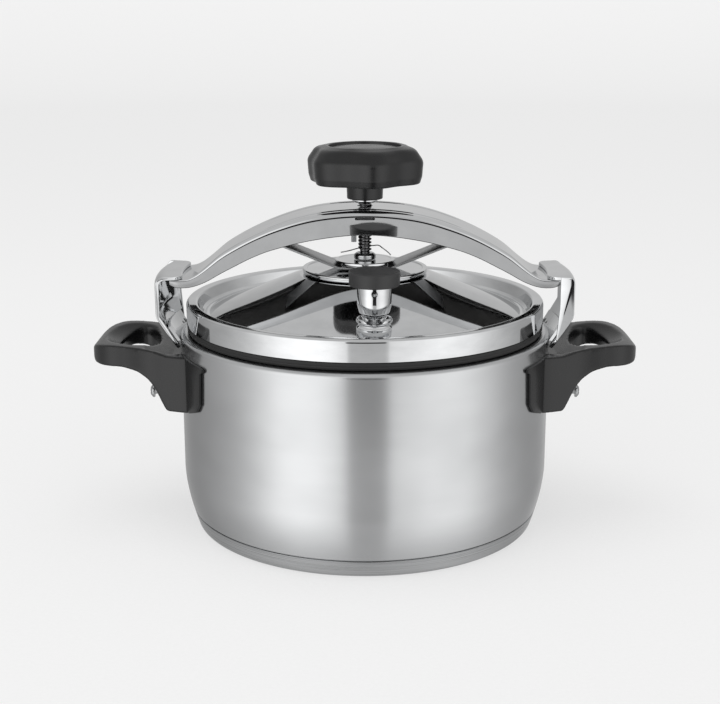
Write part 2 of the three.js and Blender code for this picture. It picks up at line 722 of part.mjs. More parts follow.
// A turned piece whose foot is cut to stand on the cone at a clearance
function onCone(geometry, above) {
  const cover = revolve([
    point(0, channelFloor - 40), point(coneFootRadius + 30, channelFloor - 40),
    point(coneFootRadius + 30, coneHeightAt(coneFootRadius + 30, 0, above)),
    point(0, coneHeightAt(0, 0, above)),
  ], 128);
  return cut(geometry, [cover]);
}
function underCone(geometry, below) {
  const cover = revolve([
    point(0, crownTop + 40), point(coneFootRadius + 30, crownTop + 40),
    point(coneFootRadius + 30, coneHeightAt(coneFootRadius + 30, 0, -lidSheet - below)),
    point(0, coneHeightAt(0, 0, -lidSheet - below)),
  ], 128);
  return cut(geometry, [cover]);
}
const ventSeat = moved(revolve([
  point(ventPipeRadius + 1 + gap, ventGround - 12), point(seatRadiusOuter - 3, ventGround - 12),
  point(seatRadiusOuter, ventSeatLow + 1), point(seatRadiusOuter, ventSeatTop - 1.2),
  point(seatRadiusOuter - 0.8, ventSeatTop), point(seatRadiusOuter - 2.4, ventSeatTop),
  point(seatRadiusOuter - 5, ventSeatTop - 4), point(ventPipeRadius + 3.4, ventSeatTop - 4.6),
  point(ventPipeRadius + 3.4, ventSeatTop - 1), point(ventPipeRadius + 1 + gap, ventSeatTop - 1),
], 24), ventAxis.x, ventAxis.y);
addPart('vent_seat', onCone(ventSeat, gap), mirrorSteel);

const ventPipeTop = ventSeatTop + 9;
const ventPipeLow = ventGround - 14;
addPart('vent_pipe', moved(revolve([
  point(1.2, ventPipeLow), point(ventPipeRadius + 1, ventPipeLow),
  point(ventPipeRadius + 1, ventSeatTop - 1 - gap), point(ventPipeRadius, ventSeatTop),
  point(ventPipeRadius - 0.6, ventPipeTop - 2), point(2.2, ventPipeTop), point(1.2, ventPipeTop),
], 20), ventAxis.x, ventAxis.y), steel);

const underLid = ventGround - 5.4;
const ventWasher = moved(ring(ventPipeRadius + 1 + gap, 10.5, underLid - 2, underLid + 8, 24),
  ventAxis.x, ventAxis.y);
addPart('vent_washer', underCone(ventWasher, gap), rubber);
const ventNut = hexNut(ventPipeRadius + 1 + gap, 9.5, underLid - 7.2, underLid - 2 - gap);
addPart('vent_nut', moved(ventNut, ventAxis.x, ventAxis.y), steel);

const weightLow = ventSeatTop + 0.4;
const weightTop = weightLow + weightHeight - 2;
const weightHollow = ventPipeRadius + 0.8;
addPart('weight_body', moved(revolve([
  point(0, ventPipeTop + 2), point(1.6, ventPipeTop + gap), point(weightHollow, ventPipeTop - 1),
  point(weightHollow, weightLow), point(7.4, weightLow), point(8.4, weightLow + 2.4),
  point(10.8, weightLow + 3), point(12, weightLow + 5.6), point(12.8, weightLow + 10),
  point(weightRadius, weightLow + 18), point(weightRadius, weightTop), point(0, weightTop),
], 28), ventAxis.x, ventAxis.y), mirrorSteel);

const capLow = weightTop - 1.6;
const weightCapTop = capLow + weightCapHeight;
addPart('weight_cap', moved(revolve([
  point(0, weightTop + gap), point(weightRadius + gap, weightTop + gap),
  point(weightRadius + gap, capLow), point(weightCapRadius - 0.8, capLow),
  point(weightCapRadius, capLow + 0.8), point(weightCapRadius, weightCapTop - 1),
  point(weightCapRadius - 1, weightCapTop), point(0, weightCapTop),
], 36), ventAxis.x, ventAxis.y), bakelite);

// Safety valve behind the crown: seal, body, spring, pin and nut
const safetyGround = coneHeightAt(safetyAxis.x, safetyAxis.y, 0);
const safetyHeadLow = safetyGround + 4.2;
const safetyTop = safetyHeadLow + 4.4;
const springRoom = safetyPinRadius + 2.2;
const roomLow = safetyGround - 11;
const roomHigh = safetyTop - 1.6;
const pinGap = 0.35;
addPart('safety_seal', onCone(moved(ring(safetyNeck + gap, safetyRadius + 1, safetyGround - 6,
  safetyHeadLow - gap, 28), safetyAxis.x, safetyAxis.y), gap), rubber);
addPart('safety_body', moved(revolve([
  point(safetyPinRadius + pinGap, roomLow - 2), point(safetyNeck, roomLow - 2),
  point(safetyNeck, safetyHeadLow), point(safetyRadius + 1, safetyHeadLow),
  point(safetyRadius + 1, safetyTop - 1), point(safetyRadius, safetyTop),
  point(safetyPinRadius + pinGap, safetyTop), point(safetyPinRadius + pinGap, roomHigh),
  point(springRoom, roomHigh), point(springRoom, roomLow),
  point(safetyPinRadius + pinGap, roomLow),
], 24), safetyAxis.x, safetyAxis.y), steel);
const flangeTop = roomLow + gap + 1.2;
addPart('safety_pin', moved(revolve([
  point(0, roomLow - 3), point(safetyPinRadius, roomLow - 3), point(safetyPinRadius, roomLow + gap),
  point(springRoom - 0.3, roomLow + gap), point(springRoom - 0.3, flangeTop),
  point(safetyPinRadius, flangeTop), point(safetyPinRadius, safetyTop + 1),
  point(safetyPinRadius - 0.8, safetyTop + 1.8), point(0, safetyTop + 1.8),
], 20), safetyAxis.x, safetyAxis.y), steel);

class Coil extends THREE.Curve {
  constructor(radius, low, high, turns) {
    super();
    this.radius = radius;
    this.low = low;
    this.high = high;
    this.turns = turns;
  }

  getPoint(t, target = new THREE.Vector3()) {
    const angle = 2 * Math.PI * this.turns * t;
    return target.set(this.radius * Math.cos(angle), this.radius * Math.sin(angle),
      this.low + (this.high - this.low) * t);
  }
}
const springWire = 0.35;
const springCoil = new Coil(springRoom - 0.95, flangeTop + gap + springWire,
  roomHigh - gap - springWire, 5);
addPart('safety_spring', moved(facingOut(mergeVertices(new THREE.ExtrudeGeometry(
  roundShape(springWire, 4),
  { steps: 45, extrudePath: springCoil },
))), safetyAxis.x, safetyAxis.y), steel);
const safetyUnder = safetyGround - 5.4;
const safetyNut = hexNut(safetyNeck + gap, safetyRadius + 2.4, safetyUnder - 5.6, safetyUnder);
addPart('safety_nut', moved(safetyNut, safetyAxis.x, safetyAxis.y), steel);

export default part;
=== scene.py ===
# Pressure canner with a bow clamp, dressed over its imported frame
import math

import bmesh
import bpy
from mathutils import Matrix, Vector


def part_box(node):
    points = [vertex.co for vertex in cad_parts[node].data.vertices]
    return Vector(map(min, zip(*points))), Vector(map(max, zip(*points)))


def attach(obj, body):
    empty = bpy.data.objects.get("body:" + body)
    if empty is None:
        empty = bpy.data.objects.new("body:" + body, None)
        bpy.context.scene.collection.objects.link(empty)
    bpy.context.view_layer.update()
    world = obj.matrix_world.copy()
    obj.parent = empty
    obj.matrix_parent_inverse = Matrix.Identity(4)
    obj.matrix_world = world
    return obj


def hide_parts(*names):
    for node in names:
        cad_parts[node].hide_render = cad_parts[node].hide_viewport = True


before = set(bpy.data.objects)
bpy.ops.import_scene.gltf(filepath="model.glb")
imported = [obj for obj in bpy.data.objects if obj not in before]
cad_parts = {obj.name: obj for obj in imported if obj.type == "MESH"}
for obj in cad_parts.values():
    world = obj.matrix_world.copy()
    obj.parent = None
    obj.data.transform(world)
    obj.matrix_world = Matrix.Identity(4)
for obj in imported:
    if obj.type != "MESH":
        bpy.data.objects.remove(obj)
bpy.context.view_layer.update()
mm = 0.001


def linear(hexColour):  # sRGB hex to the linear colour the shader wants
    channels = [int(hexColour[i:i + 2], 16) / 255 for i in (1, 3, 5)]
    return [c / 12.92 if c <= 0.04045 else ((c + 0.055) / 1.055) ** 2.4 for c in channels] + [1]


def addNode(tree, kind, settings=None, inputs=None):
    made = tree.nodes.new(kind)
    for name, value in (settings or {}).items():
        setattr(made, name, value)
    for name, value in (inputs or {}).items():
        if isinstance(value, bpy.types.NodeSocket):
            tree.links.new(value, made.inputs[name])
        else:
            made.inputs[name].default_value = value
    return made


def newMaterial(name, shader):
    material = bpy.data.materials.new(name)
    material.use_nodes = True
    tree = material.node_tree
    tree.nodes.clear()
    surface = shader(tree)
    addNode(tree, "ShaderNodeOutputMaterial", inputs={"Surface": surface.outputs[0]})
    return material


# A noise pattern in object space, size in millimetres along each axis
def grain(tree, sizes, detail=3.0, turn=(0, 0, 0)):
    place = addNode(tree, "ShaderNodeTexCoord")
    scaled = addNode(tree, "ShaderNodeMapping", inputs={
        "Vector": place.outputs["Object"],
        "Scale": [1 / (size * mm) for size in sizes],
        "Rotation": turn,
    })
    return addNode(tree, "ShaderNodeTexNoise", inputs={
        "Vector": scaled.outputs[0], "Scale": 1.0, "Detail": detail, "Roughness": 0.55,
    })


def spread(tree, value, low, high, fromLow=0.3, fromHigh=0.7):
    return addNode(tree, "ShaderNodeMapRange", inputs={
        "Value": value, "From Min": fromLow, "From Max": fromHigh, "To Min": low, "To Max": high,
    })


def tinted(tree, value, darkHex, lightHex):
    return addNode(tree, "ShaderNodeMix", {"data_type": "RGBA"}, {
        0: value, 6: linear(darkHex), 7: linear(lightHex),
    })


# A finish: colour, roughness and relief, each following a noise pattern
def surfaced(tree, toneFrom, colours, roughFrom, roughness, reliefFrom, relief, more):
    tone = spread(tree, toneFrom.outputs["Fac"], 0, 1)
    strength, depth = relief
    bump = addNode(tree, "ShaderNodeBump", inputs={
        "Strength": strength, "Distance": depth * mm, "Height": reliefFrom.outputs["Fac"],
    })
    return addNode(tree, "ShaderNodeBsdfPrincipled", inputs={
        "Base Color": tinted(tree, tone.outputs[0], *colours).outputs[2],
        "Roughness": spread(tree, roughFrom.outputs["Fac"], *roughness).outputs[0],
        "Normal": bump.outputs[0], **more,
    })


# Spun stainless 304, satin polished round the pot: long soft streaks of light down the wall
def satinPotSteel(tree):
    streaks = grain(tree, (60, 60, 1.1), 4)
    clouds = grain(tree, (90, 90, 60), 2)
    around = addNode(tree, "ShaderNodeTangent", {"direction_type": "RADIAL", "axis": "Z"})
    return surfaced(tree, clouds, ("#c6c7c8", "#d2d3d4"), streaks, (0.225, 0.262), streaks, (0.07, 0.02), {
        "Metallic": 1.0, "Anisotropic": 0.72, "Anisotropic Rotation": 0.25,
        "Tangent": around.outputs[0],
    })


# The same steel on the base pan, left with the lines of the turning wheel
def wheeledPanSteel(tree):
    lines = grain(tree, (90, 90, 0.8), 3)
    return surfaced(tree, lines, ("#b9babb", "#cccdce"), lines, (0.24, 0.36), lines, (0.3, 0.02),
                    {"Metallic": 1.0})


# Stainless 304 sheet buffed to a mirror: sharp reflections, faint sheet waviness and buffing haze
def mirrorSteel(tree):
    wave = grain(tree, (70, 70, 70), 1)
    haze = grain(tree, (24, 24, 9), 3)
    return surfaced(tree, haze, ("#d3d4d5", "#dedfe0"), haze, (0.035, 0.06), wave, (0.2, 0.1),
                    {"Metallic": 1.0})


# The bow is buffed outside only: under the channel the sheet is left rougher, and its colour there is
# darkened as painted shade
def bowSteelPaintedShadeUnder(tree):
    wave = grain(tree, (70, 70, 70), 1)
    haze = grain(tree, (24, 9, 24), 3)
    facing = addNode(tree, "ShaderNodeTexCoord")
    upright = addNode(tree, "ShaderNodeSeparateXYZ", inputs={0: facing.outputs["Normal"]})
    under = addNode(tree, "ShaderNodeMapRange", inputs={
        "Value": upright.outputs[2], "From Min": -0.12, "From Max": -0.4})
    buffed = spread(tree, haze.outputs["Fac"], 0.035, 0.06)
    rough = addNode(tree, "ShaderNodeMix", inputs={0: under.outputs[0], 2: buffed.outputs[0], 3: 0.4})
    bright = tinted(tree, spread(tree, haze.outputs["Fac"], 0, 1).outputs[0], "#d3d4d5", "#dedfe0")
    # painted shade: faces turned downward darken towards #4b4a49
    paintedShadeUnder = addNode(tree, "ShaderNodeMix", {"data_type": "RGBA"}, {
        0: under.outputs[0], 6: bright.outputs[2], 7: linear("#4b4a49")})
    bump = addNode(tree, "ShaderNodeBump", inputs={
        "Strength": 0.2, "Distance": 0.1 * mm, "Height": wave.outputs["Fac"],
    })
    return addNode(tree, "ShaderNodeBsdfPrincipled", inputs={
        "Base Color": paintedShadeUnder.outputs[2], "Metallic": 1.0, "Roughness": rough.outputs[0],
        "Normal": bump.outputs[0],
    })


# Cold rolled stainless strip, tumbled and unpolished: grey and softly matt
def rolledStripSteel(tree):
    rolling = grain(tree, (30, 1.4, 30), 4)
    specks = grain(tree, (1.2, 1.2, 1.2), 2)
    return surfaced(tree, specks, ("#a7a8a9", "#b9babb"), rolling, (0.26, 0.42), rolling, (0.3, 0.02),
                    {"Metallic": 1.0})


# Turned steel: bright with fine lathe rings
def turnedSteel(tree):
    rings = grain(tree, (20, 20, 0.5), 3)
    return surfaced(tree, rings, ("#b4b5b6", "#c8c9ca"), rings, (0.14, 0.28), rings, (0.3, 0.015),
                    {"Metallic": 1.0})


# Screw steel kept oiled: a dark skin, bright only where the light catches a crest
def oiledScrewSteel(tree):
    film = grain(tree, (6, 6, 2), 3)
    return surfaced(tree, film, ("#5d5d5e", "#7b7b7c"), film, (0.16, 0.3), film, (0.2, 0.02),
                    {"Metallic": 1.0})


# Phenolic moulding: near black, satin, with the faint skin texture of the mould
def mouldedBakelite(tree):
    skin = grain(tree, (1.6, 1.6, 1.6), 4)
    flow = grain(tree, (24, 24, 24), 3)
    return surfaced(tree, flow, ("#0b0b0c", "#121213"), flow, (0.23, 0.3), skin, (0.12, 0.08),
                    {"IOR": 1.52})


# The weight's cap: the same resin with more filler, greyer and nearly matt
def mattBakelite(tree):
    skin = grain(tree, (1.2, 1.2, 1.2), 3)
    flow = grain(tree, (16, 16, 16), 3)
    return surfaced(tree, flow, ("#1f1f20", "#272728"), flow, (0.44, 0.54), skin, (0.14, 0.06),
                    {"IOR": 1.6})


# Black moulded nitrile: dull, with a little bloom on the skin
def gasketRubber(tree):
    bloom = grain(tree, (12, 12, 6), 4)
    pores = grain(tree, (0.9, 0.9, 0.9), 2)
    return surfaced(tree, bloom, ("#121212", "#1d1d1d"), bloom, (0.48, 0.66), pores, (0.2, 0.05),
                    {"IOR": 1.52})


# Pressed aluminium disc, as rolled: pale with cloudy patches
def rolledAluminium(tree):
    cloud = grain(tree, (18, 4, 18), 4)
    return surfaced(tree, cloud, ("#c3c5c7", "#d3d5d6"), cloud, (0.34, 0.5), cloud, (0.05, 0.02),
                    {"Metallic": 1.0})


# Matt white studio sheet that glows a little, so its shadows stay light
def studioPaper(tree):
    fibres = grain(tree, (3, 3, 3), 3)
    tint = tinted(tree, spread(tree, fibres.outputs["Fac"], 0, 1).outputs[0], "#b5b5b5", "#b8b8b8")
    return addNode(tree, "ShaderNodeBsdfPrincipled", inputs={
        "Base Color": tint.outputs[2], "Roughness": 0.9, "Specular IOR Level": 0.0,
        "Emission Color": linear("#f2f2f2"), "Emission Strength": 0.58,
    })


finishes = {
    name: newMaterial(name, shader)
    for name, shader in {
        "satinPotSteel": satinPotSteel,
        "wheeledPanSteel": wheeledPanSteel,
        "mirrorSteel": mirrorSteel,
        "bowSteelPaintedShadeUnder": bowSteelPaintedShadeUnder,
        "rolledStripSteel": rolledStripSteel,
        "turnedSteel": turnedSteel,
        "oiledScrewSteel": oiledScrewSteel,
        "mouldedBakelite": mouldedBakelite,
        "mattBakelite": mattBakelite,
        "gasketRubber": gasketRubber,
        "rolledAluminium": rolledAluminium,
        "studioPaper": studioPaper,
    }.items()
}
print("finishes made:", len(finishes))


# Shapes. Outlines are (x, y, rounding) corners in millimetres
def roundedOutline(corners, closed=True, steps=6):
    outline = []
    for i, (x, y, radius) in enumerate(corners):
        here = Vector((x, y))
        if radius == 0 or (not closed and i in (0, len(corners) - 1)):
            outline.append(here)
            continue
        toLast = Vector(corners[i - 1][:2]) - here
        toNext = Vector(corners[(i + 1) % len(corners)][:2]) - here
        half = toLast.angle(toNext) / 2
        reach = min(radius / math.tan(half), 0.4 * toLast.length, 0.4 * toNext.length)
        toLast.normalize()
        toNext.normalize()
        centre = here + (toLast + toNext).normalized() * (reach / math.cos(half))
        first = here + toLast * reach - centre
        last = here + toNext * reach - centre
        sweep = first.angle_signed(last)
        outline.append(here + toLast * reach * 1.2)  # holds the flat beside the rounding
        for step in range(steps + 1):
            turn = -sweep * step / steps
            outline.append(centre + Vector((
                first.x * math.cos(turn) - first.y * math.sin(turn),
                first.x * math.sin(turn) + first.y * math.cos(turn))))
        outline.append(here + toNext * reach * 1.2)
    return outline


def sheetOutline(line, thickness):  # a sheet to the right of its line when thickness is positive
    other = []
    for i, here in enumerate(line):
        before = (here - line[max(i - 1, 0)]).normalized()
        after = (line[min(i + 1, len(line) - 1)] - here).normalized()
        before = after if i == 0 else before
        after = before if i == len(line) - 1 else after
        side = Vector((before.y + after.y, -before.x - after.x)).normalized()
        fit = max(side.dot(Vector((after.y, -after.x))), 0.5)
        other.append(here + side * thickness / fit)
    return line + other[::-1]


def meshObject(name, bm, smoothAngle=32):
    bmesh.ops.remove_doubles(bm, verts=bm.verts, dist=0.004 * mm)
    bmesh.ops.recalc_face_normals(bm, faces=bm.faces)
    mesh = bpy.data.meshes.new(name)
    bm.to_mesh(mesh)
    bm.free()
    mesh.shade_smooth()
    mesh.set_sharp_from_angle(angle=math.radians(smoothAngle))
    made = bpy.data.objects.new(name, mesh)
    bpy.context.scene.collection.objects.link(made)
    return made


def settled(made, smoothAngle=32):  # modifiers become a plain mesh
    shape = bpy.data.meshes.new_from_object(
        made.evaluated_get(bpy.context.evaluated_depsgraph_get()))
    made.modifiers.clear()
    made.data = shape
    shape.shade_smooth()
    shape.set_sharp_from_angle(angle=math.radians(smoothAngle))
    return made


def turned(name, outline, centre=(0, 0), steps=180, smoothAngle=32):
    bm = bmesh.new()
    rings = []
    for corner in outline:
        count = 1 if corner.x < 1e-6 else steps
        rings.append([bm.verts.new((
            centre[0] * mm + corner.x * mm * math.cos(2 * math.pi * k / steps),
            centre[1] * mm + corner.x * mm * math.sin(2 * math.pi * k / steps),
            corner.y * mm)) for k in range(count)])
    closing = [] if outline[0].x < 1e-6 and outline[-1].x < 1e-6 else [rings[0]]
    for low, high in zip(rings, rings[1:] + closing):
        for k in range(steps):
            corners = [low[k % len(low)], low[(k + 1) % len(low)],
                       high[(k + 1) % len(high)], high[k % len(high)]]
            corners = list(dict.fromkeys(corners))
            if len(corners) > 2:
                bm.faces.new(corners)
    return meshObject(name, bm, smoothAngle)


def lofted(name, sections, smoothAngle=32):  # equal closed sections in mm, capped at both ends
    bm = bmesh.new()
    loops = [[bm.verts.new(corner * mm) for corner in section] for section in sections]
    for low, high in zip(loops, loops[1:]):
        for k in range(len(low)):
            n = (k + 1) % len(low)
            bm.faces.new((low[k], low[n], high[n], high[k]))
    bm.faces.new(loops[0])
    bm.faces.new(loops[-1][::-1])
    return meshObject(name, bm, smoothAngle)


def onWall(r, degrees, z):
    angle = math.radians(degrees)
    return Vector((r * math.cos(angle), r * math.sin(angle), z))


def cutWith(made, cutters, operation="DIFFERENCE"):
    for cutter in cutters:
        tool = made.modifiers.new("cut", "BOOLEAN")
        tool.operation = operation
        tool.solver = "EXACT"
        tool.object = cutter
    settled(made)
    for cutter in cutters:
        bpy.data.objects.remove(cutter)
    return made


def softened(made, width, segments=3, angle=35):
    edge = made.modifiers.new("edge", "BEVEL")
    edge.width = width * mm
    edge.segments = segments
    edge.limit_method = "ANGLE"
    edge.angle_limit = math.radians(angle)
    edge.harden_normals = False
    return settled(made)


def box(name, low, high):
    bm = bmesh.new()
    bmesh.ops.create_cube(bm, size=1)
    size = [high[i] - low[i] for i in range(3)]
    middle = [(high[i] + low[i]) / 2 for i in range(3)]
    for vert in bm.verts:
        vert.co = Vector([(vert.co[i] * size[i] + middle[i]) * mm for i in range(3)])
    return meshObject(name, bm)


def halfTurn(made, name):  # the same piece on the other side of the pot
    other = made.copy()
    other.data = made.data.copy()
    other.name = name
    other.data.transform(Matrix.Rotation(math.pi, 4, "Z"))
    bpy.context.scene.collection.objects.link(other)
    return other


def fitPiece(made, finish, body, *nodes):
    if finish:
        made.data.materials.clear()
        made.data.materials.append(finishes[finish])
    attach(made, body)
    if nodes:
        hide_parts(*nodes)
    return made


def nodeTree(name, sizes):
    tree = bpy.data.node_groups.new(name, "GeometryNodeTree")
    tree.interface.new_socket("Geometry", in_out="INPUT", socket_type="NodeSocketGeometry")
    tree.interface.new_socket("Geometry", in_out="OUTPUT", socket_type="NodeSocketGeometry")
    for label in sizes:
        tree.interface.new_socket(label, in_out="INPUT", socket_type="NodeSocketFloat")
    start = addNode(tree, "NodeGroupInput")
    return tree, start


def endTree(tree, geometry, finish):
    whole = addNode(tree, "GeometryNodeRealizeInstances", inputs={"Geometry": geometry})
    dressed = addNode(tree, "GeometryNodeSetMaterial", inputs={
        "Geometry": whole.outputs[0], "Material": finishes[finish],
    })
    addNode(tree, "NodeGroupOutput", inputs={"Geometry": dressed.outputs[0]})


def grown(made, tree, sizes, smoothAngle=32):  # runs a tree on an object and keeps its plain mesh
    work = made.modifiers.new(tree.name, "NODES")
    work.node_group = tree
    for item in tree.interface.items_tree:
        if item.in_out == "INPUT" and item.name in sizes:
            work[item.identifier] = float(sizes[item.name])
    return settled(made, smoothAngle)


def nodeMath(tree, operation, a, b=0.0):
    return addNode(tree, "ShaderNodeMath", {"operation": operation}, {0: a, 1: b}).outputs[0]


# The pot: base pan, wall drawn in towards the foot, rounded shoulder and rolled rim
pot = {
    "radius": 161, "panHeight": 14.5, "panSheet": 0.8, "panCorner": 6, "foot": 150.1, "footRise": 52,
    "footInset": 11, "floor": 5.8, "floorCorner": 8, "seam": 1.4, "shoulderTop": 172.5, "shoulder": 10,
    "neck": 151, "rim": 195, "bead": 1.6,
}


def wallAt(z):  # the wall's radius, which shrinks in a curve below footRise
    share = max(pot["footRise"] - z, 0) / pot["footRise"]
    return pot["radius"] - pot["footInset"] * share ** 1.7


panTop = pot["panHeight"] - 0.4
panLine = roundedOutline([
    (0, 0, 0), (pot["foot"], 0, pot["panCorner"]), (wallAt(5), 5, 6), (wallAt(9), 9, 6),
    (wallAt(panTop), panTop, 0),
], False, 12)
basePan = turned("basePan", sheetOutline(panLine, -pot["panSheet"]), steps=240)
fitPiece(basePan, "wheeledPanSteel", "pot", "base_cup")

seat = 1.25  # how far the wall stands inside the pan
wallFoot = pot["panHeight"] + pot["seam"]
footHeights = [wallFoot + (pot["footRise"] - wallFoot) * k / 12 for k in range(13)]
wallLine = roundedOutline([
    (0, pot["floor"], 0), (wallAt(8) - seat - 1.6, pot["floor"], pot["floorCorner"]),
    (wallAt(panTop) - seat, panTop, 0), (wallAt(wallFoot) - seat, wallFoot - 0.7, 0.3),
    (wallAt(wallFoot), wallFoot, 0.5), *[(wallAt(z), z, 0) for z in footHeights[1:]],
    (pot["radius"], pot["shoulderTop"], pot["shoulder"]),
    (pot["neck"], pot["shoulderTop"], 2.4), (pot["neck"], pot["rim"] - 3, 0.5),
    (pot["neck"] + pot["bead"], pot["rim"] - 2.4, 0.6), (pot["neck"] + pot["bead"], pot["rim"], 0.9),
    (pot["neck"] - 1, pot["rim"], 0),
], False, 12)
wallInside = [
    (pot["neck"] - 1, pot["shoulderTop"] - 1, 3.4),
    (pot["radius"] - 1, pot["shoulderTop"] - 1, pot["shoulder"] - 1),
    *[(wallAt(z) - 1, z, 0) for z in footHeights[:3:-1]],
    (wallAt(panTop) - seat - 1.1, panTop, 6),
    (wallAt(8) - seat - 2.6, pot["floor"] + 1, pot["floorCorner"] - 1),
]
wallInner = roundedOutline(
    [(pot["neck"] - 1, pot["rim"], 0), *wallInside, (0, pot["floor"] + 1, 0)], False, 10)[1:]
potWall = turned("potWall", wallLine + wallInner, steps=240)
fitPiece(potWall, "satinPotSteel", "pot", "pot_shell")
print("pot turned")


# The lid: skirt, lip, channel and cone in one pressed sheet
lid = {
    "skirt": 155.5, "skirtLow": 180.2, "lipTop": 198.5, "lipInner": 146, "channel": 187,
    "coneFoot": 137, "coneTop": 54, "crown": 221, "sheet": 1.2,
}
lidLine = roundedOutline([
    (lid["skirt"], lid["skirtLow"], 0), (lid["skirt"], lid["lipTop"], 2.6),
    (lid["lipInner"], lid["lipTop"], 2.4), (lid["lipInner"] - 3.4, lid["channel"] + 2.4, 2),
    (lid["coneFoot"] + 3, lid["channel"], 1.6), (lid["coneFoot"] + 1, lid["channel"] + 1.5, 0.9),
    (lid["coneFoot"] - 1.4, lid["channel"] + 1.1, 1), (lid["coneTop"] + 3, lid["crown"] - 1, 4),
    (lid["coneTop"] - 8, lid["crown"], 0), (0, lid["crown"], 0),
], False, 8)
lidShell = turned("lidShell", sheetOutline(lidLine, -lid["sheet"]), steps=288)
fitPiece(lidShell, "mirrorSteel", "closure", "lid_shell")

gasketOutline = roundedOutline([
    (147.6, 190.2, 1.2), (149.2, 190.2, 0.5), (149.2, 195.4, 0.5), (153.2, 195.4, 0.4),
    (153.2, 179.8, 0.4), (152.2, 179.4, 0.6), (152.2, 173.6, 1.4), (154.6, 173.4, 1.3),
    (155.2, 175.4, 0.5), (154.9, 176.3, 0.3), (155.2, 177.2, 0.5), (155.3, 179.4, 0.5),
    (154, 179.9, 0.3), (154, 195.6, 0.5), (152.1, 197, 0.6), (147.6, 197, 1),
])
gasketRing = turned("gasketRing", gasketOutline, steps=240)
fitPiece(gasketRing, "gasketRubber", "closure", "gasket")

plate = {"radius": 55, "low": 221.3, "top": 225.5}
centrePlate = turned("centrePlate", roundedOutline([
    (0, plate["low"], 0), (plate["radius"] - 1, plate["low"], 1.2),
    (plate["radius"], plate["top"], 2), (plate["radius"] - 4.4, plate["top"], 1.2),
    (plate["radius"] - 5.2, plate["top"] - 0.9, 0.5), (0, plate["top"] - 0.9, 0),
], False, 6), steps=144)
fitPiece(centrePlate, "mirrorSteel", "closure", "centre_plate")
print("lid turned")


# The bow: an inverted channel whose flanges grow shallow towards the ends
bowLow, bowHigh = [corner * 1000 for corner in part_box("bow_arch")]
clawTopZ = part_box("claw_right")[1].z * 1000
bow = {
    "halfSpan": bowHigh.x, "top": bowHigh.z, "foot": clawTopZ - 3.3, "halfWidth": bowHigh.y,
    "sheet": 2.2, "shoulder": 10, "flare": 1.3, "beadInset": 11, "beadHeight": 0.45, "stations": 150,
}
bowDrop = [
    (0, 0), (0.12, 0.013), (0.253, 0.061), (0.361, 0.134), (0.464, 0.234), (0.566, 0.358),
    (0.657, 0.491), (0.741, 0.64), (0.816, 0.819), (0.861, 0.918), (0.898, 0.976), (0.922, 0.993),
    (0.96, 1), (1, 1),
]
flangeDepth = [
    (0, 20.5), (0.253, 21), (0.404, 20), (0.512, 18.5), (0.59, 18), (0.681, 17.5), (0.75, 16),
    (0.807, 13.3), (0.861, 10), (0.904, 8), (0.964, 7), (0.99, 5.6), (1, 4.6),
]


def smoothAt(line, x):  # a smooth curve through the points of a line
    i = min(max(next((k for k, p in enumerate(line) if p[0] >= x), len(line) - 1), 1), len(line) - 1)
    (x0, y0), (x1, y1) = line[i - 1], line[i]

    def slopeAt(k):
        if k in (0, len(line) - 1):
            return 0
        return (line[k + 1][1] - line[k - 1][1]) / (line[k + 1][0] - line[k - 1][0])
    t = (x - x0) / (x1 - x0)
    a, b = slopeAt(i - 1) * (x1 - x0), slopeAt(i) * (x1 - x0)
    return (y0 * (2 * t ** 3 - 3 * t ** 2 + 1) + a * (t ** 3 - 2 * t ** 2 + t)
            + y1 * (3 * t ** 2 - 2 * t ** 3) + b * (t ** 3 - t ** 2))


def bowTopAt(x):
    return bow["top"] - smoothAt(bowDrop, abs(x) / bow["halfSpan"]) * (bow["top"] - bow["foot"])


def bowSection(x):
    step = 0.5
    slope = (bowTopAt(min(x + step, bow["halfSpan"])) - bowTopAt(max(x - step, -bow["halfSpan"])))
    sheet = bow["sheet"] * math.hypot(1, slope / (2 * step))
    half, depth = bow["halfWidth"], smoothAt(flangeDepth, abs(x) / bow["halfSpan"])
    fade = min(max((86 - abs(x)) / 10, 0), 1)
    bead, inset = bow["beadHeight"] * fade * fade * (3 - 2 * fade) + 0.02, bow["beadInset"]
    side = [
        (half - bow["flare"] - bow["sheet"], -depth, 0.7), (half - bow["flare"], -depth, 0.7),
        (half - bow["flare"] * 0.45, -depth * 0.55, 30), (half, 0, bow["shoulder"]),
        (half - inset, 0, 0.6), (half - inset - 0.7, bead, 0.5), (half - inset - 1.7, bead, 0.5),
        (half - inset - 2.4, 0, 0.6),
    ]
    under = [(half - bow["sheet"], -sheet, bow["shoulder"] - 2)]
    corners = [*side, *[(-y, z, r) for y, z, r in side[::-1]],
               *[(-y, z, r) for y, z, r in under], *under]
    return [Vector((x, p.x, p.y + bowTopAt(x))) for p in roundedOutline(corners, True, 4)]


bowStations = [bow["halfSpan"] * (2 * i / bow["stations"] - 1) for i in range(bow["stations"] + 1)]
bowArch = lofted("bowArch", [bowSection(x) for x in bowStations], 38)
slotCut = box("slotCut", (-8.5, -bow["halfWidth"] - 4, bow["top"] - 7.4),
              (8.5, -bow["halfWidth"] + 6, bow["top"] - 5))
softened(slotCut, 1.1, 4)
boreCut = turned("boreCut", [Vector(p) for p in ((0, 250), (6.6, 250), (6.6, 290), (0, 290))], steps=48)
cutWith(bowArch, [slotCut, boreCut])
fitPiece(bowArch, "bowSteelPaintedShadeUnder", "closure", "bow_arch")
print("bow lofted")


# The claws: curved hooks that reach under the lugs, with one side cheek each
claw = {
    "outer": 182, "knee": clawTopZ - 35.2, "corner": 9, "sheet": 3, "plateEnd": 158, "tip": 164,
    "halfAngle": 13, "columns": 44, "plateCorner": 9, "tipCorner": 7,
}
lean = Vector((-0.53, -0.848))


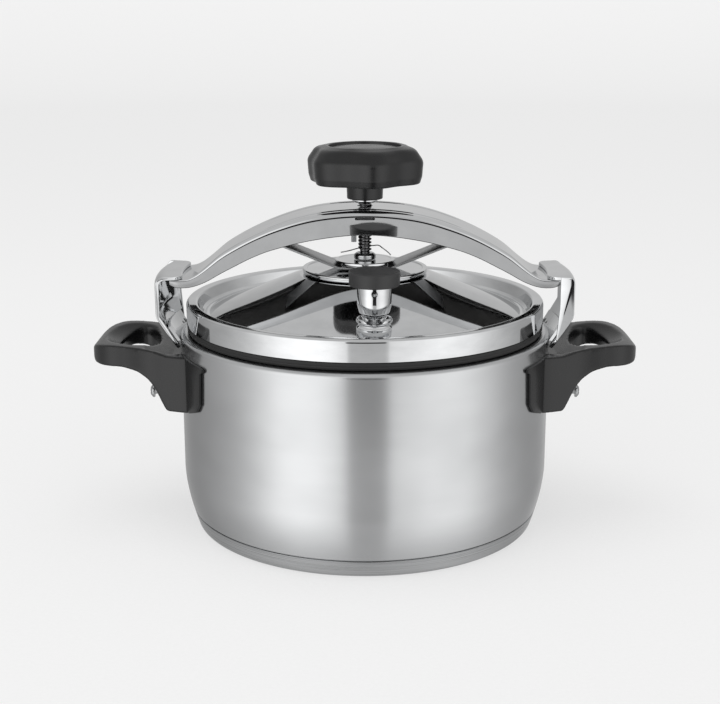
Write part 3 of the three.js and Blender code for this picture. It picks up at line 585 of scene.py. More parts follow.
def cornerShare(distance, radius):  # how far a rounded corner sets an edge back
    if distance >= radius:
        return 0
    return radius - math.sqrt(radius ** 2 - (radius - distance) ** 2)


def clawSection(degrees, pinch):
    edge = math.radians(claw["halfAngle"] - abs(degrees)) * claw["outer"]
    plateEnd = claw["plateEnd"] + cornerShare(edge, claw["plateCorner"])
    kneePoint = Vector((claw["outer"], claw["knee"]))
    travel = (claw["tip"] - claw["outer"]) / lean.x - cornerShare(edge, claw["tipCorner"])
    tipPoint = kneePoint + lean * travel
    across = Vector((-lean.y, lean.x))  # to the left of the lean, which is outwards
    inward = -across if across.x > 0 else across
    sheet, top = claw["sheet"], clawTopZ
    fall = math.tan(math.atan2(-lean.x, -lean.y) / 2) * sheet
    corners = [
        (*(tipPoint + inward * pinch), 1), (claw["outer"] - pinch, claw["knee"], 7),
        (claw["outer"] - pinch, top - pinch, claw["corner"]), (plateEnd + pinch, top - pinch, 0.7),
        (plateEnd + pinch, top - sheet + pinch, 0.7),
        (claw["outer"] - sheet + pinch, top - sheet + pinch, claw["corner"] - sheet),
        (claw["outer"] - sheet + pinch, claw["knee"] + fall, 4.5),
        (*(tipPoint + inward * (sheet - pinch)), 1),
    ]
    return [onWall(p.x, degrees, p.y) for p in roundedOutline(corners, True, 6)]


columnAngles = [
    (claw["halfAngle"], 0.55), (claw["halfAngle"] - 0.06, 0.16), (claw["halfAngle"] - 0.17, 0),
    *[(claw["halfAngle"] - 0.17 - 12.83 * i / claw["columns"] * 2, 0)
      for i in range(1, claw["columns"])],
    (-claw["halfAngle"] + 0.17, 0), (-claw["halfAngle"] + 0.06, 0.16), (-claw["halfAngle"], 0.55),
]
clawRight = lofted("clawRight", [clawSection(*column) for column in columnAngles], 38)

cheekOutline = roundedOutline([
    (169.2, claw["knee"] - 20.5, 2), (claw["outer"], claw["knee"], 7),
    (claw["outer"], clawTopZ, claw["corner"]), (170.2, clawTopZ, 1),
    (170.2, claw["knee"] + 8, 20), (167.6, claw["knee"] - 21, 2),
], True, 8)
cheekTurn = math.degrees(3 / claw["outer"])
cheekPlate = lofted("cheekPlate", [
    [onWall(p.x, -claw["halfAngle"] + cheekTurn * side, p.y) for p in cheekOutline]
    for side in (-0.08, 1)])
softened(cheekPlate, 0.9, 4, 50)
clawRight = cutWith(clawRight, [cheekPlate], "UNION")
clawLeft = halfTurn(clawRight, "clawLeft")
fitPiece(clawRight, "mirrorSteel", "closure", "claw_right")
fitPiece(clawLeft, "mirrorSteel", "closure", "claw_left")
print("claws bent")


# The strap, its rivets, the clamp disc and the clip wire on the crown
strapLow, strapHigh = [corner * 1000 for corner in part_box("brace_strap")]
strap = {"flat": 22.4, "halfWidth": strapHigh.y, "thickness": 2, "bend": 7}
strapRise = strapHigh.z - strap["thickness"] - 0.2
strapLine = roundedOutline([
    (-strapHigh.x, strapRise, 0), (-strap["flat"], strapLow.z, strap["bend"]),
    (strap["flat"], strapLow.z, strap["bend"]), (strapHigh.x, strapRise, 0),
], False, 8)
strapOutline = sheetOutline(strapLine, -strap["thickness"])
braceStrap = lofted("braceStrap", [
    [Vector((p.x, y, p.y)) for p in strapOutline] for y in (-strap["halfWidth"], strap["halfWidth"])])
softened(braceStrap, 0.45, 3)
fitPiece(braceStrap, "rolledStripSteel", "closure", "brace_strap")

rivetSizes = {"Spacing": 28 * mm, "Height": (strapLow.z + 2.2) * mm, "Head": 4 * mm, "Dome": 0.42}
rivetTree, rivetIn = nodeTree("strapRivets", rivetSizes)
half = nodeMath(rivetTree, "MULTIPLY", rivetIn.outputs["Spacing"], 0.5)
firstSpot = addNode(rivetTree, "ShaderNodeCombineXYZ", inputs={
    0: nodeMath(rivetTree, "MULTIPLY", half, -1.0), 2: rivetIn.outputs["Height"]})
stepAlong = addNode(rivetTree, "ShaderNodeCombineXYZ", inputs={0: rivetIn.outputs["Spacing"]})
spots = addNode(rivetTree, "GeometryNodeMeshLine", inputs={
    "Count": 2, "Start Location": firstSpot.outputs[0], "Offset": stepAlong.outputs[0]})
domeHead = addNode(rivetTree, "GeometryNodeMeshUVSphere", inputs={
    "Segments": 32, "Rings": 16, "Radius": rivetIn.outputs["Head"]})
flatten = addNode(rivetTree, "ShaderNodeCombineXYZ", inputs={0: 1, 1: 1, 2: rivetIn.outputs["Dome"]})
placed = addNode(rivetTree, "GeometryNodeInstanceOnPoints", inputs={
    "Points": spots.outputs[0], "Instance": domeHead.outputs[0], "Scale": flatten.outputs[0]})
endTree(rivetTree, placed.outputs[0], "turnedSteel")
strapRivets = grown(meshObject("strapRivets", bmesh.new()), rivetTree, rivetSizes)
fitPiece(strapRivets, "turnedSteel", "closure", "strap_rivet_left", "strap_rivet_right")

discLow, discHigh = [corner * 1000 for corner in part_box("clamp_disc")]
clampDisc = turned("clampDisc", roundedOutline([
    (0, discLow.z, 0), (22.8, discLow.z, 0.5), (23.4, discLow.z - 1.6, 0.3),
    (discHigh.x - 0.8, discLow.z - 1.7, 0.4), (discHigh.x, discLow.z - 0.6, 0.8),
    (discHigh.x, discHigh.z, 1), (discHigh.x - 3, discHigh.z, 0.3),
    (discHigh.x - 3.6, discHigh.z - 0.35, 0.3), (0, discHigh.z - 0.35, 0),
], False, 5), steps=120)
fitPiece(clampDisc, "mirrorSteel", "closure", "clamp_disc")


def bentWire(name, path, radius, sides=12):
    curve = bpy.data.curves.new(name, "CURVE")
    curve.dimensions = "3D"
    curve.bevel_depth = radius * mm
    curve.bevel_resolution = sides // 4
    curve.use_fill_caps = True
    spline = curve.splines.new("BEZIER")
    spline.bezier_points.add(len(path) - 1)
    for knot, place in zip(spline.bezier_points, path):
        knot.co = Vector(place) * mm
        knot.handle_left_type = knot.handle_right_type = "AUTO"
    curve.resolution_u = 16
    made = bpy.data.objects.new(name, curve)
    bpy.context.scene.collection.objects.link(made)
    mesh = bpy.data.meshes.new_from_object(
        made.evaluated_get(bpy.context.evaluated_depsgraph_get()))
    bpy.data.objects.remove(made)
    mesh.shade_smooth()
    wire = bpy.data.objects.new(name, mesh)
    bpy.context.scene.collection.objects.link(wire)
    return wire


wireZ = discHigh.z
clipWire = bentWire("clipWire", [
    (-21, 0, wireZ + 5.4), (-17, 1, wireZ + 6), (-12.5, 4.5, wireZ + 6.4), (-8, 9.6, wireZ + 6.8),
    (0, 12.4, wireZ + 8.2), (8, 9.6, wireZ + 9.8), (12.4, 4.5, wireZ + 10.6), (15, 1.5, wireZ + 9.2),
    (20, 0, wireZ + 5.6), (22.6, 0, wireZ + 3),
], 0.5)
fitPiece(clipWire, "turnedSteel", "closure", "clip_wire")


# The nut under the bow, with its locking tab
nutLow, nutHigh = [corner * 1000 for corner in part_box("bow_nut")]
nut = {"corner": 13, "thickness": 12, "bore": 6.1}


def hexBlock(name, corner, low, high, centre=(0, 0), chamfer=1.0, turn=0):
    block = lofted(name, [[
        onWall(corner, 60 * k + turn, z) + Vector((*centre, 0)) for k in range(6)]
        for z in (low, high)])
    dome = turned(name + "Dome", roundedOutline([
        (0, low - 1, 0), (corner - chamfer, low - 1, 0), (corner - chamfer * 0.4, low, 0),
        (corner + 0.2, low + chamfer, 0), (corner + 0.2, high - chamfer, 0),
        (corner - chamfer * 1.4, high, 0), (corner - chamfer * 1.6, high + 0.5, 0), (0, high + 0.5, 0),
    ], False), centre, 72)
    return cutWith(block, [dome], "INTERSECT")


bowNut = hexBlock("bowNut", nut["corner"], nutHigh.z - nut["thickness"], nutHigh.z)
tab = box("tab", (nutLow.x if nutLow.x > -12 else -11.8, -5, nutLow.z), (-7.3, 5, nutHigh.z - 2))
softened(tab, 0.5)
bowNut = cutWith(bowNut, [tab], "UNION")
bowNut = cutWith(bowNut, [turned("nutBore", [Vector(p) for p in (
    (0, nutLow.z - 5), (nut["bore"], nutLow.z - 5), (nut["bore"], nutHigh.z + 5),
    (0, nutHigh.z + 5))], steps=48)])
fitPiece(bowNut, "rolledStripSteel", "closure", "bow_nut")
print("crown fitted")


# The screw: swivel foot, threaded spindle, collar
screw = {"core": 4.3, "radius": 5.9, "pitch": 3, "low": 241, "high": 284}
footLow, footHigh = [corner * 1000 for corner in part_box("screw_foot")]
screwFoot = turned("screwFoot", roundedOutline([
    (0, footLow.z, 0), (9.5, footLow.z, 0.6), (9.5, footHigh.z - 1.6, 1.2), (7.4, footHigh.z, 0.6),
    (4.6, footHigh.z, 0.4), (4.6, footLow.z + 1.4, 0.3), (0, footLow.z + 1.4, 0),
], False, 5), steps=72)
fitPiece(screwFoot, "turnedSteel", "foot", "screw_foot")

spindleLow, spindleHigh = [corner * 1000 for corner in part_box("screw_spindle")]
spindleCore = turned("spindleCore", roundedOutline([
    (0, spindleLow.z, 0), (4, spindleLow.z, 0.8), (4, footHigh.z + 1, 0.5),
    (screw["core"], footHigh.z + 2, 0.5), (screw["core"], screw["high"] + 1.5, 0.3),
    (4.4, screw["high"] + 2, 0.3), (4.4, spindleHigh.z, 0.8), (0, spindleHigh.z, 0),
], False, 5), steps=48)
fitPiece(spindleCore, "oiledScrewSteel", "knob", "screw_spindle")

threadSizes = {
    "Turns": (screw["high"] - screw["low"]) / screw["pitch"],
    "Radius": (screw["radius"] - 1.0) * mm, "Height": (screw["high"] - screw["low"]) * mm,
    "Ridge": 1.0 * mm, "Start": screw["low"] * mm,
}
threadTree, threadIn = nodeTree("spindleThread", threadSizes)
helix = addNode(threadTree, "GeometryNodeCurveSpiral", inputs={
    "Resolution": 40, "Rotations": threadIn.outputs["Turns"],
    "Start Radius": threadIn.outputs["Radius"], "End Radius": threadIn.outputs["Radius"],
    "Height": threadIn.outputs["Height"]})
ridge = addNode(threadTree, "GeometryNodeCurvePrimitiveCircle", inputs={
    "Resolution": 8, "Radius": threadIn.outputs["Ridge"]})
swept = addNode(threadTree, "GeometryNodeCurveToMesh", inputs={
    "Curve": helix.outputs[0], "Profile Curve": ridge.outputs[0], "Fill Caps": True})
lift = addNode(threadTree, "ShaderNodeCombineXYZ", inputs={2: threadIn.outputs["Start"]})
raised = addNode(threadTree, "GeometryNodeTransform", inputs={
    "Geometry": swept.outputs[0], "Translation": lift.outputs[0]})
endTree(threadTree, raised.outputs[0], "oiledScrewSteel")
spindleThread = grown(meshObject("spindleThread", bmesh.new()), threadTree, threadSizes, 60)
fitPiece(spindleThread, "oiledScrewSteel", "knob")

collarLow, collarHigh = [corner * 1000 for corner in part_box("knob_collar")]
knobCollar = turned("knobCollar", roundedOutline([
    (4.8, collarLow.z + 1.2, 0.2), (6.4, collarLow.z, 0.4), (9.6, collarLow.z, 0.8),
    (11, collarLow.z + 1.3, 0.6), (11, collarHigh.z, 0.4), (4.8, collarHigh.z, 0.2),
], True, 5), steps=72)
fitPiece(knobCollar, "mirrorSteel", "knob", "knob_collar")


# The knob: a turned blank drawn in between its broad lobes, with a dished disc in its top
knobLow, knobHigh = [corner * 1000 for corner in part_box("knob")]
knob = {
    "radius": 51.5, "hub": 15.8, "recess": 31, "recessDepth": 3.4, "lobes": 6, "depth": 5.7,
    "turn": 18.6, "height": 32.4,
}
knobSkirt = knobHigh.z - knob["height"]
knobOutline = roundedOutline([
    (4.9, knobLow.z, 0), (knob["hub"] - 0.4, knobLow.z, 0.9), (knob["hub"], knobSkirt + 0.4, 2.4),
    (knob["radius"] - 3, knobSkirt + 0.8, 2), (knob["radius"] - 1, knobSkirt + 7, 7),
    (knob["radius"], knobSkirt + 20, 8), (knob["radius"] - 7, knobSkirt + 30, 9),
    (knob["recess"] + 3, knobHigh.z, 5), (knob["recess"] + 0.2, knobHigh.z - 0.2, 0.9),
    (knob["recess"] - 0.4, knobHigh.z - knob["recessDepth"], 0),
    (4.9, knobHigh.z - knob["recessDepth"], 0),
], True, 8)
knobBody = turned("knobBody", knobOutline, steps=360, smoothAngle=40)
share = knobBody.data.attributes.new("lobeShare", "FLOAT", "POINT")
for vert in knobBody.data.vertices:
    reach = math.hypot(vert.co.x, vert.co.y) / mm
    height = vert.co.z / mm - knobSkirt
    share.data[vert.index].value = (
        0 if height < 0.1 else min(max((reach - knob["recess"] - 2.2) / 14, 0), 1) ** 0.8)
knobSizes = {"Lobes": knob["lobes"], "Depth": knob["depth"] * mm, "Turn": math.radians(knob["turn"])}
knobTree, knobIn = nodeTree("knobLobes", knobSizes)
place = addNode(knobTree, "GeometryNodeInputPosition")
parts = addNode(knobTree, "ShaderNodeSeparateXYZ", inputs={0: place.outputs[0]})
angle = nodeMath(knobTree, "ARCTAN2", parts.outputs[1], parts.outputs[0])
swing = nodeMath(knobTree, "MULTIPLY",
                 nodeMath(knobTree, "ADD", angle, knobIn.outputs["Turn"]), knobIn.outputs["Lobes"])
wave = nodeMath(knobTree, "MULTIPLY",
                nodeMath(knobTree, "SUBTRACT", 1.0, nodeMath(knobTree, "COSINE", swing)), -0.5)
howMuch = addNode(knobTree, "GeometryNodeInputNamedAttribute", {"data_type": "FLOAT"},
                  {"Name": "lobeShare"})
pull = nodeMath(knobTree, "MULTIPLY", nodeMath(knobTree, "MULTIPLY", wave, knobIn.outputs["Depth"]),
                howMuch.outputs["Attribute"])
outward = addNode(knobTree, "ShaderNodeCombineXYZ", inputs={
    0: nodeMath(knobTree, "MULTIPLY", nodeMath(knobTree, "COSINE", angle), pull),
    1: nodeMath(knobTree, "MULTIPLY", nodeMath(knobTree, "SINE", angle), pull)})
lobed = addNode(knobTree, "GeometryNodeSetPosition", inputs={
    "Geometry": knobIn.outputs["Geometry"], "Offset": outward.outputs[0]})
endTree(knobTree, lobed.outputs[0], "mouldedBakelite")
grown(knobBody, knobTree, knobSizes, 40)
fitPiece(knobBody, "mouldedBakelite", "knob", "knob")

discTop = knobHigh.z - knob["recessDepth"] + 0.3
knobDisc = turned("knobDisc", roundedOutline([
    (0, discTop - 0.2, 0), (knob["recess"] - 0.9, discTop - 0.2, 0.2),
    (knob["recess"] - 0.8, discTop + 0.5, 0.3), (knob["recess"] - 2.6, discTop + 0.8, 0.8),
    (knob["recess"] * 0.55, discTop + 2.0, 14), (0, discTop + 2.3, 0),
], False, 6), steps=120)
fitPiece(knobDisc, "mouldedBakelite", "knob", "knob_disc")
print("knob and screw made")


# The weight valve: waisted seat cup with two raised sides, pipe, bullet weight and its black cap
seatLow, seatHigh = [corner * 1000 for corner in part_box("vent_seat")]
ventX, ventY = (seatLow.x + seatHigh.x) / 2, (seatLow.y + seatHigh.y) / 2
cup = {"rim": 14.4, "waist": 12.4, "well": 9.4, "sink": 2.6, "dip": 10, "dipRise": 5.6}
cupTop = seatHigh.z - cup["sink"]
ventSeat = turned("ventSeat", roundedOutline([
    (5.3, seatLow.z, 0), (10.5, seatLow.z, 2), (cup["rim"] - 0.6, cupTop - 9.6, 1.6),
    (cup["rim"] + 0.2, cupTop - 7.4, 1), (cup["waist"], cupTop - 5.2, 1.4),
    (cup["rim"] + 0.3, cupTop - 2.8, 1), (cup["rim"], cupTop, 1), (cup["rim"] - 2.6, cupTop, 0.8),
    (cup["well"] + 0.8, cupTop - 2.4, 1), (cup["well"], cupTop - 5, 0.8), (5.3, cupTop - 5, 0.2),
], True, 6), (ventX, ventY), 120)
dip = turned("dip", [Vector(p) for p in ((0, -20), (cup["dip"], -20), (cup["dip"], 20), (0, 20))],
             steps=96)
dip.data.transform(Matrix.Translation((ventX * mm, ventY * mm, (cupTop + cup["dipRise"]) * mm))
                   @ Matrix.Rotation(math.pi / 2, 4, "X"))
cutWith(ventSeat, [dip])
softened(ventSeat, 0.4, 3, 40)
fitPiece(ventSeat, "mirrorSteel", "closure", "vent_seat")

weightLow, weightHigh = [corner * 1000 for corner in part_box("weight_body")]
weight = {"radius": 13.8, "hollow": 4.8, "foot": 7.6, "drop": 3.6}
bulletLow = weightLow.z - weight["drop"]
weightBody = turned("weightBody", roundedOutline([
    (0, bulletLow + 13.6, 0), (weight["hollow"], bulletLow + 11.6, 0.6),
    (weight["hollow"], bulletLow, 0.3), (weight["foot"] - 0.8, bulletLow, 0.8),
    (weight["foot"] + 0.4, bulletLow + 2.2, 1), (weight["foot"] + 1, bulletLow + 2.8, 0.3),
    (9.8, bulletLow + 3.2, 0.5), (12.2, bulletLow + 5, 2.2),
    (weight["radius"], bulletLow + 11, 16), (weight["radius"], weightHigh.z, 0.8),
    (0, weightHigh.z, 0),
], False, 8), (ventX, ventY), 96)
portZ = weightHigh.z - 6.5
port = turned("port", roundedOutline([
    (0, 0, 0), (1.9, 0, 0), (1.9, 4.2, 0.4), (2.7, 5, 0), (2.7, 9, 0), (0, 9, 0)], False, 4), steps=32)
port.data.transform(Matrix.Translation((ventX * mm, (ventY - 8.4) * mm, portZ * mm))
                    @ Matrix.Rotation(math.pi / 2, 4, "X"))
cutWith(weightBody, [port])
fitPiece(weightBody, "mirrorSteel", "weight", "weight_body")

capLow, capHigh = [corner * 1000 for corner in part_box("weight_cap")]
weightCap = turned("weightCap", roundedOutline([
    (0, capLow.z + 2.2, 0), (13.9, capLow.z + 2.2, 0.3), (13.9, capLow.z, 0.3),
    (20.2, capLow.z, 0.9), (20.5, capHigh.z, 1.6), (17.6, capHigh.z, 0.5),
    (16.9, capHigh.z - 0.35, 0.5), (0, capHigh.z - 0.5, 0),
], False, 6), (ventX, ventY), 120)
fitPiece(weightCap, "mattBakelite", "weight", "weight_cap")


# The safety valve behind the crown
bodyLow, bodyHigh = [corner * 1000 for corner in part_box("safety_body")]
safeX, safeY = (bodyLow.x + bodyHigh.x) / 2, (bodyLow.y + bodyHigh.y) / 2
safetyBody = turned("safetyBody", roundedOutline([
    (2.4, bodyLow.z, 0.3), (5.6, bodyLow.z, 0.5), (5.6, bodyHigh.z - 4.4, 0.3),
    (8, bodyHigh.z - 4.4, 0.6), (8, bodyHigh.z - 1.6, 0.5), (6.6, bodyHigh.z, 0.8),
    (2.4, bodyHigh.z, 0.4),
], True, 5), (safeX, safeY), 72)
fitPiece(safetyBody, "turnedSteel", "closure", "safety_body")
pinLow, pinHigh = [corner * 1000 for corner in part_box("safety_pin")]
safetyPin = turned("safetyPin", roundedOutline([
    (0, pinLow.z, 0), (2, pinLow.z, 0.4), (2, pinHigh.z, 1), (0, pinHigh.z, 0),
], False, 5), (safeX, safeY), 40)
fitPiece(safetyPin, "turnedSteel", "pin", "safety_pin")
print("valves made")


# The handles: moulded loops with a finger hole, their wall flanges, and the screws in their bosses
handle = {
    "wall": 161, "top": 166.5, "flangeFrom": 161.4, "flangeThickness": 2.2, "voxel": 1.15,
    "ease": 9, "boss": 7.5, "bossEnd": 187, "bossHeight": 113,
}
loopPlan = [  # past the wall, across
    (-14.5, 63.4), (-4, 61.2), (9, 56.8), (24, 51.5), (42, 49.6), (57, 46.6), (67.5, 38.5),
    (74.2, 24), (76.6, 0),
]
loopSide = [  # past the wall, below the handle top
    (-18, 7.4), (5.5, 7.2), (10, 6.4), (22, 3.4), (39, 1.2), (56, 0.3), (68, 2.4), (74.4, 6.8),
    (76.8, 12), (74.6, 16.8), (69.5, 19), (57, 18.8), (47, 18.9), (35, 22), (26, 27.6),
    (18.5, 36.1), (12, 48.4), (8.8, 54.2), (6.8, 55.8), (-18, 56.2),
]


def smoothLine(points, steps=6):  # a flowing line through every point
    flowing = []
    for i in range(len(points) - 1):
        a, b, c, d = (Vector(points[min(max(k, 0), len(points) - 1)]) for k in range(i - 1, i + 3))
        for s in range(steps):
            t = s / steps
            flowing.append(0.5 * (2 * b + (c - a) * t + (2 * a - 5 * b + 4 * c - d) * t ** 2
                                  + (3 * b - a - 3 * c + d) * t ** 3))
    return flowing + [Vector(points[-1])]


def ellipsoid(name, centre, radii, segments=64):
    bm = bmesh.new()
    bmesh.ops.create_uvsphere(bm, u_segments=segments, v_segments=segments // 2, radius=1)
    for vert in bm.verts:
        vert.co = Vector([(centre[i] + vert.co[i] * radii[i]) * mm for i in range(3)])
    return meshObject(name, bm)


def loopBody(name):  # the handle's loop: plan and side shapes crossed, then eased into one moulding
    wall, top = handle["wall"], handle["top"]
    half = smoothLine([(x, -y) for x, y in loopPlan])
    plan = half + [Vector((p.x, -p.y)) for p in half[-2::-1]]
    side = smoothLine(loopSide[:-1]) + [Vector(loopSide[-1])]
    made = lofted(name, [[Vector((wall + p.x, p.y, z)) for p in plan] for z in (100, 175)])
    across = lofted("across", [
        [Vector((wall + p.x, y, top - p.y)) for p in side] for y in (-70, 70)])
    cutWith(made, [across], "INTERSECT")
    boss = turned("boss", roundedOutline([
        (0, 162, 0), (handle["boss"], 162, 0), (handle["boss"], handle["bossEnd"], 1.6),
        (0, handle["bossEnd"], 0)], False), steps=48)
    boss.data.transform(Matrix.Translation((0, 0, handle["bossHeight"] * mm))
                        @ Matrix.Rotation(math.pi / 2, 4, "Y"))
    cutWith(made, [boss], "UNION")
    fingerHole = lofted("fingerHole", [
        [Vector((wall + 37 + lean + (16.5 + flare) * math.cos(math.radians(a)),
                 (35 + flare) * math.sin(math.radians(a)), z)) for a in range(0, 360, 5)]
        for z, flare, lean in ((95, 3, 0), (146, 1, 0), (156, 0, 0), (175, 3, 0))])
    clawRoom = lofted("clawRoom", [[Vector((x, y, z)) for x, z in (
        (140, 151.6), (167, 151.6), (176, 156), (188, 163), (190, 185), (140, 185))]
        for y in (-47, 47)])
    wallRoom = turned("wallRoom", [Vector(p) for p in (
        (0, 90), (handle["flangeFrom"], 90), (handle["flangeFrom"], 190), (0, 190))], steps=240)
    bowl = ellipsoid("bowl", (wall + 38, 0, top + 12), (36, 49, 22.5))
    cutWith(made, [fingerHole, bowl, clawRoom, wallRoom])
    grid = made.modifiers.new("grid", "REMESH")
    grid.mode = "VOXEL"
    grid.voxel_size = handle["voxel"] * mm
    settled(made)
    ease = made.modifiers.new("ease", "SMOOTH")
    ease.factor = 0.5
    ease.iterations = handle["ease"]
    return settled(made, 70)


def wallFlange(name):  # a plate bent round the pot wall, outline in degrees and height
    bm = bmesh.new()
    half = roundedOutline([
        (20, 158.8, 0), (33.6, 158.4, 1), (35.4, 157.4, 1), (35, 154.6, 0.8), (33.6, 152.6, 0.8),
        (33, 126, 3), (30.6, 117.6, 2.2), (25, 112.8, 1.6), (20, 111.8, 0)], False, 4)
    outline = half + [Vector((-p.x, p.y)) for p in half[::-1]]
    bm.faces.new([bm.verts.new((p.x, p.y, 0)) for p in outline])
    for degrees in range(-33, 34, 3):
        bmesh.ops.bisect_plane(bm, geom=bm.verts[:] + bm.edges[:] + bm.faces[:],
                               plane_co=(degrees, 0, 0), plane_no=(1, 0, 0))
    lifted = bmesh.ops.extrude_face_region(bm, geom=bm.faces[:])
    for vert in lifted["geom"]:
        if isinstance(vert, bmesh.types.BMVert):
            vert.co.z = handle["flangeThickness"]
    scale = math.radians(1) * handle["flangeFrom"]
    for vert in bm.verts:
        vert.co = Vector((vert.co.x * scale, vert.co.y, vert.co.z)) * mm
    made = softened(meshObject(name, bm), 1.1, 4, 40)
    for vert in made.data.vertices:
        degrees = vert.co.x / mm / scale
        vert.co = onWall(handle["flangeFrom"] + vert.co.z / mm, degrees, vert.co.y / mm) * mm
    clawRoom = lofted("clawRoom", [[Vector((x, y, z)) for x, z in (
        (140, 151.6), (167, 151.6), (176, 156), (190, 185), (140, 185))] for y in (-47, 47)])
    cutWith(made, [clawRoom])
    bm = bmesh.new()
    bm.from_mesh(made.data)
    bpy.data.objects.remove(made)
    return meshObject(name, bm, 40)


def joined(name, pieces):
    bm = bmesh.new()
    for piece in pieces:
        bm.from_mesh(piece.data)
        bpy.data.objects.remove(piece)
    mesh = bpy.data.meshes.new(name)
    bm.to_mesh(mesh)
    bm.free()
    mesh.shade_smooth()
    mesh.set_sharp_from_angle(angle=math.radians(50))
    made = bpy.data.objects.new(name, mesh)
    bpy.context.scene.collection.objects.link(made)
    return made


handleRight = joined("handleRight", [loopBody("loop"), wallFlange("flange")])
handleLeft = halfTurn(handleRight, "handleLeft")
fitPiece(handleRight, "mouldedBakelite", "pot", "handle_right")
fitPiece(handleLeft, "mouldedBakelite", "pot", "handle_left")

headLow, headHigh = [corner * 1000 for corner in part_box("handle_screw_right")]
headZ = (headLow.z + headHigh.z) / 2
headStart = headHigh.x - 3.6
screwHead = turned("screwHead", roundedOutline([
    (0, headLow.x, 0), (3, headLow.x, 0.3), (3, headStart, 0), (6, headStart, 0.4),
    (6, headStart + 1.6, 1.2), (3.6, headHigh.x, 1.6), (0, headHigh.x, 0),
], False, 6), steps=48)
slots = [box("slotA", (-0.6, -4, headHigh.x - 1.7), (0.6, 4, headHigh.x + 2)),
         box("slotB", (-4, -0.6, headHigh.x - 1.7), (4, 0.6, headHigh.x + 2))]
cutWith(screwHead, slots)
screwHead.data.transform(Matrix.Translation((0, 0, headZ * mm)) @ Matrix.Rotation(math.pi / 2, 4, "Y"))
screwHead.name = "handleScrewRight"
handleScrewLeft = halfTurn(screwHead, "handleScrewLeft")
fitPiece(screwHead, "turnedSteel", "pot", "handle_screw_right")
fitPiece(handleScrewLeft, "turnedSteel", "pot", "handle_screw_left")
print("handles moulded")


# Frame solids that stay, with their own finishes
keptNodes = {
    "base_core": "rolledAluminium", "lug_left": "mirrorSteel", "lug_right": "mirrorSteel",
    "handle_bracket_left": "rolledStripSteel", "handle_bracket_right": "rolledStripSteel",
    "vent_pipe": "turnedSteel", "vent_washer": "gasketRubber", "vent_nut": "turnedSteel",
    "safety_seal": "gasketRubber", "safety_spring": "turnedSteel", "safety_nut": "turnedSteel",
}
for name, finish in keptNodes.items():
    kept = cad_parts[name]
    kept.data.materials.clear()
    kept.data.materials.append(finishes[finish])


# Studio: a pale floor that curves up all round, seen by the camera but not by the steel,
# and a sky drawn by compass direction: two tall soft boxes in front, a pale ceiling behind
studio = {
    "floorRadius": 5, "coveRadius": 1.5, "coveHeight": 4, "strength": 1.0,
    "ceiling": 0.62, "under": 0.46, "flag": 0.02,
    "flagWest": -11.5, "flagEast": 13, "flagLow": -13.5, "flagHigh": 8,
}
coveLine = [Vector((0, 0)), Vector((1.2, 0)), Vector((studio["floorRadius"], 0))]
coveLine += [Vector((studio["floorRadius"] + studio["coveRadius"] * math.sin(math.radians(a)),
                     studio["coveRadius"] * (1 - math.cos(math.radians(a))))) for a in range(6, 91, 6)]
coveLine += [Vector((studio["floorRadius"] + studio["coveRadius"], studio["coveHeight"]))]
cove = bmesh.new()
coveRings = [[cove.verts.new((p.x * math.cos(math.radians(a)), p.x * math.sin(math.radians(a)), p.y))
              for a in range(0, 360, 5)] for p in coveLine[1:]]
cove.faces.new(coveRings[0])
for low, high in zip(coveRings, coveRings[1:]):
    for k in range(len(low)):
        n = (k + 1) % len(low)
        cove.faces.new((low[k], low[n], high[n], high[k]))
studioCove = meshObject("studioCove", cove, 60)
studioCove.data.flip_normals()
studioCove.data.materials.append(finishes["studioPaper"])
studioCove.visible_glossy = False
studioCove.visible_diffuse = False
studioCove.visible_shadow = False

softLight = [  # compass degrees from the front, brightness
    (-180, 0.62), (-166, 0.5), (-152, 0.38), (-131, 0.35), (-112, 0.42), (-92, 0.56), (-76, 0.78),
    (-61, 1.14), (-48, 1.42), (-36, 1.46), (-24, 1.34), (-15, 1.12), (-11, 0.98), (-8, 0.62),
    (9, 0.58), (13, 0.62), (16, 0.95), (30, 1.1), (48, 1.22), (60, 1.18), (74, 0.98), (90, 0.7),
    (107, 0.5), (126, 0.4), (142, 0.4), (158, 0.52), (180, 0.62),
]
sky = bpy.data.worlds.new("studioSky")
sky.use_nodes = True
tree = sky.node_tree
tree.nodes.clear()
heading = addNode(tree, "ShaderNodeTexCoord")
axes = addNode(tree, "ShaderNodeSeparateXYZ", inputs={0: heading.outputs["Generated"]})
compass = nodeMath(tree, "ARCTAN2", axes.outputs[0], nodeMath(tree, "MULTIPLY", axes.outputs[1], -1.0))
share = nodeMath(tree, "ADD", nodeMath(tree, "DIVIDE", compass, 2 * math.pi), 0.5)
ring = addNode(tree, "ShaderNodeFloatCurve", inputs={"Value": share})
line = ring.mapping.curves[0]
line.points[0].location = (0, softLight[0][1] / 2)
line.points[-1].location = (1, softLight[-1][1] / 2)
for degrees, brightness in softLight[1:-1]:
    line.points.new(degrees / 360 + 0.5, brightness / 2)
ring.mapping.update()
around = nodeMath(tree, "MULTIPLY", ring.outputs[0], 2.0)
height = axes.outputs[2]
upward = addNode(tree, "ShaderNodeMapRange", {"interpolation_type": "SMOOTHSTEP"}, {
    "Value": height, "From Min": 0.3, "From Max": 0.72, "To Min": 0.0, "To Max": 1.0})
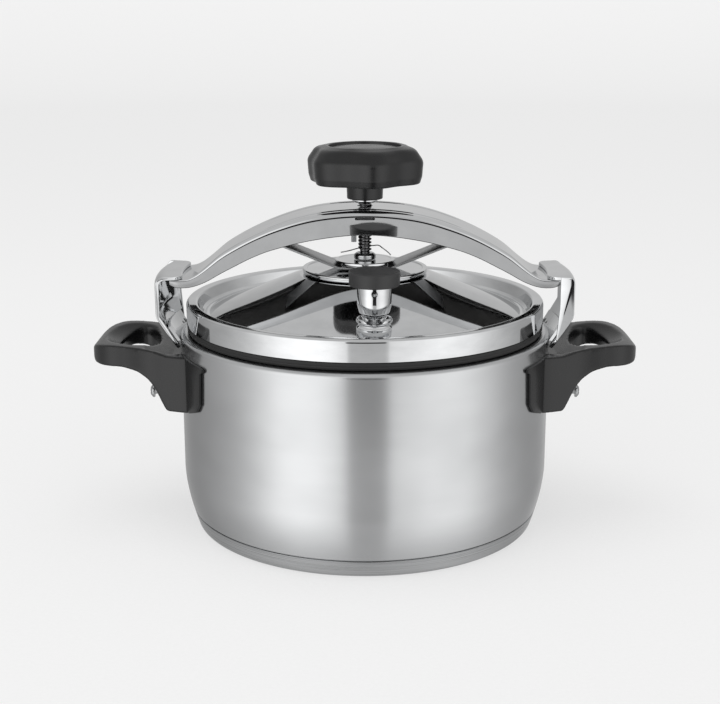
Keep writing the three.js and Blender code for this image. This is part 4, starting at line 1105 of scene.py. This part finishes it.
downward = addNode(tree, "ShaderNodeMapRange", {"interpolation_type": "SMOOTHSTEP"}, {
    "Value": height, "From Min": -0.45, "From Max": -0.92, "To Min": 0.0, "To Max": 1.0})


def blended(share, low, high):
    return addNode(tree, "ShaderNodeMix", inputs={0: share, 2: low, 3: high}).outputs[0]


def within(value, low, high, edge):
    rise = addNode(tree, "ShaderNodeMapRange", {"interpolation_type": "SMOOTHSTEP"}, {
        "Value": value, "From Min": low - edge, "From Max": low + edge})
    fall = addNode(tree, "ShaderNodeMapRange", {"interpolation_type": "SMOOTHSTEP"}, {
        "Value": value, "From Min": high + edge, "From Max": high - edge})
    return nodeMath(tree, "MULTIPLY", rise.outputs[0], fall.outputs[0])


lit = blended(upward.outputs[0], around, studio["ceiling"])
lit = blended(downward.outputs[0], lit, studio["under"])
flag = nodeMath(
    tree, "MULTIPLY",
    within(compass, math.radians(studio["flagWest"]), math.radians(studio["flagEast"]), 0.015),
    within(height, math.sin(math.radians(studio["flagLow"])), math.sin(math.radians(studio["flagHigh"])),
           0.012))
lit = blended(flag, lit, studio["flag"])
glow = addNode(tree, "ShaderNodeBackground", inputs={
    "Color": (1, 1, 1, 1), "Strength": nodeMath(tree, "MULTIPLY", lit, studio["strength"])})
addNode(tree, "ShaderNodeOutputWorld", inputs={"Surface": glow.outputs[0]})
bpy.context.scene.world = sky

keyLight = bpy.data.lights.new("overheadKey", "AREA")
keyLight.shape = "DISK"
keyLight.size = 1.6
keyLight.energy = 9
keyLamp = bpy.data.objects.new("overheadKey", keyLight)
keyLamp.location = (-0.3, -0.2, 2.2)
keyLamp.visible_glossy = False
bpy.context.scene.collection.objects.link(keyLamp)

camera = bpy.data.cameras.new("camera")
camera.sensor_width = 36
camera.lens = 67.675
camera.shift_x = -0.0068
cameraObject = bpy.data.objects.new("camera", camera)
cameraObject.location = (0, -1.1612, 0.4511)
cameraObject.rotation_euler = (math.radians(75.39), 0, 0)
bpy.context.scene.collection.objects.link(cameraObject)
bpy.context.scene.camera = cameraObject
bpy.context.scene.view_settings.view_transform = "Standard"
print("studio lit")
